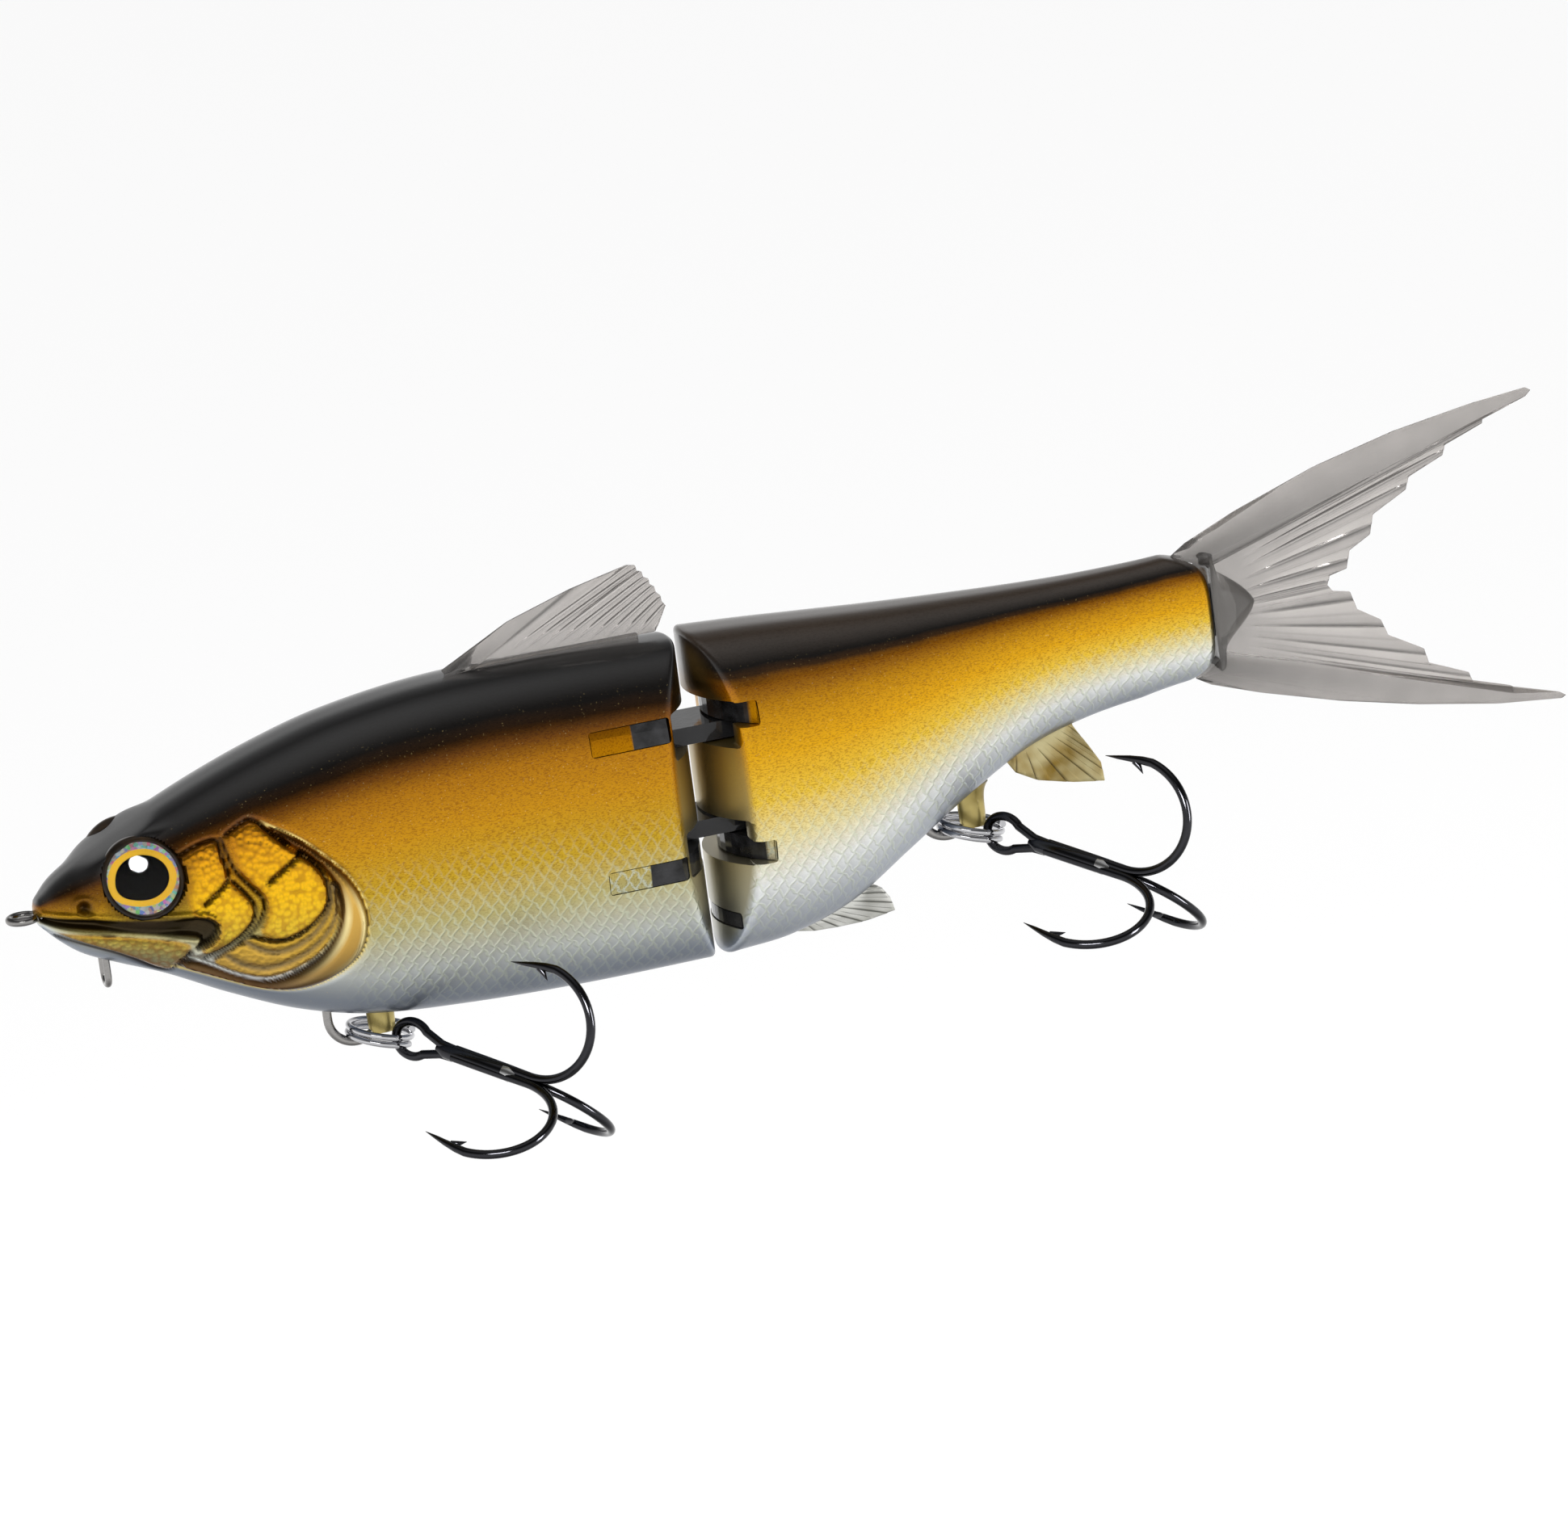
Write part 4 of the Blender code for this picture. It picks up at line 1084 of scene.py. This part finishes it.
def make_fins(look):
    roots = [(53.4, 18.9), (60.0, 19.3), (79.8, 19.4)]
    edge = [
        (53.0, 19.6), (61.8, 24.0), (70.0, 26.5), (77.4, 28.1), (78.4, 27.9), (78.5, 27.2), (79.1, 27.0),
        (79.2, 26.3), (79.8, 26.0), (79.9, 25.3), (80.4, 24.9), (80.5, 24.2), (81.0, 23.7), (81.1, 22.9),
        (81.5, 22.3), (80.2, 20.0),
    ]
    dress(fan("dorsal_blade", roots, edge, 0.8, 0.26, 0.4, 2.0, 1.3), "front", "fin", look, "dorsal_fin")
    fin_tab("dorsal_tab", (56.5, 17.3), (77.5, 19.6), "front", "fin", look)
    anal_edge = [
        (121.3, -5.2), (122.3, -6.8), (125.0, -8.3), (129.4, -9.4), (133.4, -10.0), (133.2, -7.6),
        (131.9, -5.2), (130.2, -2.4),
    ]
    pelvic_edge = [
        (91.8, -21.0), (94.6, -21.5), (98.0, -21.6), (101.4, -21.5), (105.0, -20.9), (104.6, -19.2),
        (103.7, -17.8), (102.5, -17.0),
    ]
    anal_paint = fin_paint("anal_paint", srgb(150, 122, 50), srgb(200, 188, 140))
    pelvic_paint = fin_paint("pelvic_paint", srgb(186, 186, 178), srgb(226, 226, 220))
    for name, roots, edge, paint in (
        ("anal", [(121.4, -4.6), (130.0, -1.7)], anal_edge, anal_paint),
        ("pelvic", [(91.8, -20.6), (99.0, -18.4), (102.2, -16.8)], pelvic_edge, pelvic_paint),
    ):
        blade = fan(f"{name}_blade", roots, edge, 0.7, 0.3, 0.3, 1.0, 0.9, 140, 30)
        dress(blade, "rear", "silver_fin", paint, f"{name}_fin")


# ---------------------------------------------------------------- wires, rings and hooks


def wire(name, points, radius, radii=None):
    """A round wire, as a mesh, along points in this script's millimetres."""
    curve = bpy.data.curves.new(name, "CURVE")
    curve.dimensions = "3D"
    curve.bevel_depth = radius * 0.001
    curve.bevel_resolution = 6
    curve.use_fill_caps = True
    line = curve.splines.new("POLY")
    line.points.add(len(points) - 1)
    for k, (point, place) in enumerate(zip(line.points, placed(points))):
        point.co = (*place, 1)
        point.radius = radii[k] if radii else 1.0
    source = link_object(name + "_curve", curve)
    mesh = evaluated_mesh(source)
    bpy.data.objects.remove(source)
    shade(mesh, 50)
    return link_object(name, mesh)


def joined(name, pieces):
    """Several meshes as one object."""
    shape = bmesh.new()
    for piece in pieces:
        shape.from_mesh(piece.data)
    mesh = bpy.data.meshes.new(name)
    shape.to_mesh(mesh)
    shape.free()
    for piece in pieces:
        bpy.data.objects.remove(piece)
    shade(mesh, 50)
    return link_object(name, mesh)


def hanger_path(end):
    x, z = HANGERS[end]
    front_top, rear_top = HANGER_TOPS[end]
    reach = HANGER_RADIUS
    bend = [(x + reach * cos(a), 0, z + reach * sin(a)) for a in turns(180, 360, 49)]
    return [(x - reach, 0, front_top)] + bend + [(x + reach, 0, rear_top)]


def stub(end, top, look):
    """The moulded post round a hanger's rear leg, flared where it meets the belly."""
    x, z = HANGERS[end]
    rings = []
    for share in np.linspace(0, 1, 24):
        height = z - 2.6 + (top - z + 2.6) * share
        flare = 1 + 0.45 * share**6 - 0.12 * (1 - share) ** 8
        turn = np.linspace(0, 2 * pi, 48, endpoint=False)
        ring = [x + 3.3 + 1.7 * flare * np.cos(turn), 1.2 * flare * np.sin(turn), np.full(48, height)]
        rings.append(np.column_stack(ring))
    body = "front" if end == "belly" else "rear"
    dress(new_object(f"{end}_stub", *skin(rings), 60), body, "body", look)


def ring_frame(end):
    """(centre, out, side, normal) of a resting split ring."""
    x, z = HANGERS[end]
    centre = np.array([x + RING_FROM_HANGER[0], 0, z + RING_FROM_HANGER[1]])
    out = np.array([cos(RING_PITCH), 0, -sin(RING_PITCH)])
    return centre, out, np.array([0.0, -1.0, 0.0]), np.array([sin(RING_PITCH), 0, cos(RING_PITCH)])


def split_ring(end, look):
    centre, out, side, normal = ring_frame(end)
    points = []
    for share in np.linspace(0, 1, 180):
        turn = 2 * pi * 1.97 * share + 0.6
        height = 0.87 * (share - 0.5) * 1.97
        points.append(centre + RING_RADIUS * (cos(turn) * out + sin(turn) * side) + height * normal)
    ring = wire(f"{end}_ring_coils", points, RING_WIRE)
    return dress(ring, f"{end}_ring", "ring", look, f"{end}_split_ring")


def hook_frame():
    """(shank, up, across) directions of a resting hook."""
    level = Vector((cos(HOOK_YAW), -sin(HOOK_YAW), 0))
    shank = cos(HOOK_PITCH) * level - sin(HOOK_PITCH) * Vector((0, 0, 1))
    rise = sin(HOOK_PITCH) * level + cos(HOOK_PITCH) * Vector((0, 0, 1))
    beside = Vector((sin(HOOK_YAW), cos(HOOK_YAW), 0))
    up = cos(HOOK_ROLL) * rise + sin(HOOK_ROLL) * beside
    return np.array(shank), np.array(up), np.array(shank.cross(up))


def bend_profile():
    """(along, out) of one hook wire, from the shank round to its point."""
    bend = [(20.8 + 7.6 * cos(a), 7.4 + 6.9 * sin(a)) for a in turns(-88, 82, 46)]
    shank = [(9.6, 0.58), (14.0, 0.58), (17.5, 0.56), (19.4, 0.52)]
    return shank + bend + [(20.4, 14.15), (18.6, 13.9), (17.0, 13.6), (15.2, 13.3)]


def hook(end, look, solder):
    """A treble hook: a forged eye, a brazed shank and three bends with barbed points."""
    centre, out, side, _ = ring_frame(end)
    shank, up, across = hook_frame()
    on_ring = centre + RING_RADIUS * (cos(HOOK_RING_ANGLE) * out + sin(HOOK_RING_ANGLE) * side)
    eye_front = on_ring - 2.0 * shank + 0.25 * up

    def place(reach, lateral, off=0.0):
        return eye_front + reach * shank + lateral * up + off * across

    loop = [place(3.1 - 2.5 * cos(a), 2.1 * sin(a)) for a in turns(-138, 138, 60)]
    eye_line = [place(9.3, -0.5), place(7.5, -0.6)] + loop + [place(7.5, 0.6), place(9.3, 0.5)]
    pieces = [wire("eye", eye_line, HOOK_WIRE)]
    shank_line = [place(6.9, 0), place(8.3, 0), place(17.0, 0), place(17.8, 0)]
    pieces.append(wire("braze", shank_line, 1.0, [0.5, 1.0, 1.0, 0.75]))
    pieces.append(wire("core", [place(17.6, 0), place(20.4, 0), place(22.4, 0)], 0.7, [1.0, 1.0, 0.5]))
    profile = bend_profile()
    radii = [1.0] * (len(profile) - 4) + [0.92, 0.7, 0.45, 0.06]
    for number in range(3):
        turn = 2 * pi * number / 3
        points = [place(a, r * cos(turn), r * sin(turn)) for a, r in profile]
        pieces.append(wire("bend", points, HOOK_WIRE, radii))
        barb = [(19.4, 13.75), (20.2, 13.3), (20.9, 12.6)]
        points = [place(a, r * cos(turn), r * sin(turn)) for a, r in barb]
        pieces.append(wire("barb", points, 0.4, [1.0, 0.8, 0.08]))
    fillet_line = [place(16.9, 0), place(17.9, 0), place(19.2, 0)]
    fillet = wire(f"{end}_hook_solder", fillet_line, 1.05, [0.93, 0.97, 0.6])
    dress(fillet, f"{end}_hook", "hook", solder)
    return dress(joined(f"{end}_hook_wires", pieces), f"{end}_hook", "hook", look, f"{end}_treble_hook")


def nose_path():
    loop = [(-1.8 + 1.6 * cos(a), 1.6 * sin(a), -0.6) for a in turns(-35, -325, 60)]
    return [(7.0, -0.92, -0.6)] + loop + [(7.0, 0.92, -0.6)]


def chin_path():
    loop = [(7.2, 1.25 * cos(a), -9.3 + 1.25 * sin(a)) for a in turns(180, 360, 36)]
    return [(7.2, -1.25, -5.0)] + loop + [(7.2, 1.25, -5.0)]


# In metres of the row frame, as lights are placed.
TACKLE_MIDDLE = (0.075, -0.01, -0.03)


def glint(name, receivers, place, size, power):
    """A softbox that only these pieces catch, as the white streaks on polished wire."""
    light_only(area_light(name, place, TACKLE_MIDDLE, *size, power), receivers)


def make_tackle():
    steel = metal("bright_wire", (0.33, 0.32, 0.31), 0.14)
    chrome = metal("ring_steel", (0.60, 0.60, 0.62), 0.06, 0.04)
    nickel = metal("black_nickel", (0.045, 0.045, 0.05), 0.09)
    solder = metal("hook_solder_metal", (0.55, 0.55, 0.55), 0.2)
    stub_paint = fin_paint("stub_paint", srgb(134, 116, 56), srgb(196, 178, 110))
    hooks, bright = [], []
    for node, path, radius, body in (
        ("line_tie", nose_path(), 0.5, "front"),
        ("chin_eye", chin_path(), 0.45, "front"),
        ("belly_hanger", hanger_path("belly"), HANGER_WIRE, "front"),
        ("rear_hanger", hanger_path("rear"), HANGER_WIRE, "rear"),
    ):
        bright.append(dress(wire(node + "_wire", path, radius), body, "steel", steel, node))
    for end in HANGERS:
        bright.append(split_ring(end, chrome))
        hooks.append(hook(end, nickel, solder))
    stub("belly", -19.0, stub_paint)
    stub("rear", -7.0, stub_paint)
    glint("hook_glint", hooks, (-0.10, -0.42, 0.20), (0.22, 0.10), 2.6)
    glint("hook_side_glint", hooks, (0.42, -0.30, 0.05), (0.10, 0.22), 2.0)
    glint("ring_glint", bright, (-0.10, -0.42, 0.20), (0.30, 0.08), 0.35)


# ---------------------------------------------------------------- carried-over CAD parts


def soften(node, width):
    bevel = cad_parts[node].modifiers.new("soft edges", "BEVEL")
    bevel.width = width * 0.001
    bevel.segments = 3
    bevel.limit_method = "ANGLE"
    bevel.angle_limit = radians(40)


def repaint(nodes, look):
    for node in nodes:
        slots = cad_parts[node].data.materials
        slots.clear()
        slots.append(look)


def insert_look(name, bands, painted_from, painted_to):
    """Dark smoke plastic, painted over with the body's bands where it lies flush with the flank."""
    n = Nodes(name)
    x, y, z = n.axes()
    height = span(n, z, NOSE[2] - 21.6, NOSE[2] + 18.9)
    painted = span(n, x, NOSE[0] + painted_from, NOSE[0] + painted_to)
    outside = span(n, n.math("ABSOLUTE", y), 9.0, 9.4)
    painted = n.times(painted, outside)
    bare = n.ramp(n.noise(0.5, 3.0), [(0.3, (0.004, 0.004, 0.004)), (0.7, (0.03, 0.03, 0.032))])
    net, _ = scale_net(n)
    paint = n.mix(n.times(net, span(n, height, 0.56, 0.3)), n.ramp(height, bands), rgba(205, 210, 190))
    speckle = n.ramp(n.noise(5.0), [(0.35, (0.62, 0.58, 0.5)), (0.5, (0.92, 0.92, 0.92))])
    paint = n.mix(1.0, paint, speckle, "MULTIPLY")
    n.set(Base_Color=n.mix(painted, bare, paint), Metallic=n.times(painted, 0.9))
    n.set(Roughness=n.plus(n.times(painted, 0.22), 0.14), Specular_IOR_Level=0.3)
    n.set(Normal=n.bump(n.noise(3.0), 0.15, 0.08))
    return n.material


def make_joint():
    dark = smoke("dark_smoke", (0.03, 0.03, 0.032), 0.08, 0.35)
    repaint(["upper_link", "lower_link", "lower_bumper"], dark)
    front_look = insert_look("front_insert", FRONT_BANDS, 72.75, 72.55)
    rear_look = insert_look("rear_insert", REAR_BANDS, 87.45, 87.6)
    repaint(["front_upper_insert", "front_lower_insert"], front_look)
    repaint(["rear_upper_insert", "rear_lower_insert"], rear_look)
    pieces = ["upper_link", "lower_link", "lower_bumper"]
    pieces += [f"{end}_{level}_insert" for end in ("front", "rear") for level in ("upper", "lower")]
    for node in pieces:
        soften(node, 0.22)
    repaint(["front_hinge_pin", "rear_hinge_pin", "tail_pin"], metal("pin_steel", (0.6, 0.6, 0.62), 0.2))
    repaint(["front_ballast", "rear_ballast"], metal("ballast_metal", (0.3, 0.3, 0.32), 0.45, 0.2))


# ---------------------------------------------------------------- set and camera


# (share of the way from straight down to straight up, brightness)
REFLECTED = [
    (0.00, 0.40),
    (0.15, 0.75),
    (0.30, 1.10),
    (0.42, 1.10),
    (0.60, 0.72),
    (0.72, 0.15),
    (0.88, 0.06),
    (0.95, 0.30),
    (1.00, 0.60),
]

# (name, place, width, height, power)
STUDIO_LIGHTS = [
    ("key", (-0.25, -0.55, 0.55), 0.35, 0.35, 2.2),
    ("top", (0.1, 0.05, 0.7), 0.8, 0.25, 2.5),
    ("side", (0.55, -0.6, 0.15), 0.3, 0.6, 1.0),
]


def studio_world():
    """White all round, but glossy surfaces see a softbox overhead, a dark ceiling and bright sides."""
    world = bpy.data.worlds.new("studio")
    world.use_nodes = True
    n = Tree(world.node_tree)
    plain = n.tree.nodes["Background"]
    n.plug(plain.inputs["Color"], (1, 1, 1, 1))
    direction = n.add("TexCoord").outputs["Generated"]
    height = n.add("SeparateXYZ", {0: direction}).outputs[2]
    rise = n.add("MapRange", {"Value": height, "From Min": -1.0}).outputs[0]
    greys = n.ramp(rise, [(place, (level, level, level)) for place, level in REFLECTED])
    seen = n.add("Background", {"Color": greys})
    rays = n.add("LightPath")
    shaders = {0: rays.outputs["Is Glossy Ray"], 1: plain.outputs[0], 2: seen.outputs[0]}
    mixed = n.add("MixShader", shaders)
    n.plug(n.tree.nodes["World Output"].inputs["Surface"], mixed.outputs[0])
    return world


def make_set():
    bpy.context.scene.world = studio_world()
    for name, place, width, height, power in STUDIO_LIGHTS:
        area_light(name, place, (0.095, 0.0, 0.0), width, height, power).visible_glossy = False
    floor = bpy.data.meshes.new("floor")
    size, drop = 6.0, -0.42
    corners = [(-size, -size, drop), (size, -size, drop), (size, size, drop), (-size, size, drop)]
    floor.from_pydata(corners, [], [(0, 1, 2, 3)])
    made = link_object("floor", floor)
    n = Nodes("floor_white")
    n.set(Base_Color=(0.97, 0.97, 0.97, 1), Roughness=0.9)
    floor.materials.append(n.material)
    made.visible_glossy = False


def make_camera():
    """A long lens ahead of the lure and above it, rolled so that the tail rises."""
    azimuth, elevation, roll, distance = radians(14), radians(15), radians(7.5), 1.3
    back = Vector((-sin(azimuth) * cos(elevation), -cos(azimuth) * cos(elevation), sin(elevation)))
    level = Vector((cos(azimuth), -sin(azimuth), 0))
    rise = back.cross(level)
    right = cos(roll) * level - sin(roll) * rise
    up = sin(roll) * level + cos(roll) * rise
    aim = Vector(placed([(88.33, -20.64, 5.0)])[0])
    camera = bpy.data.cameras.new("camera")
    camera.lens = 250.0
    camera.clip_end = 20
    made = link_object("camera", camera)
    turn = Matrix((right, up, back)).transposed().to_4x4()
    made.matrix_world = Matrix.Translation(aim + back * distance) @ turn
    bpy.context.scene.camera = made


front_shell()
rear_shell()
make_eyes()
CLEAR_SMOKE = smoke("clear_smoke", (0.48, 0.455, 0.435), 0.12)
make_tail(CLEAR_SMOKE)
make_fins(CLEAR_SMOKE)
make_tackle()
make_joint()
make_set()
make_camera()
bpy.context.scene.view_settings.view_transform = "Standard"
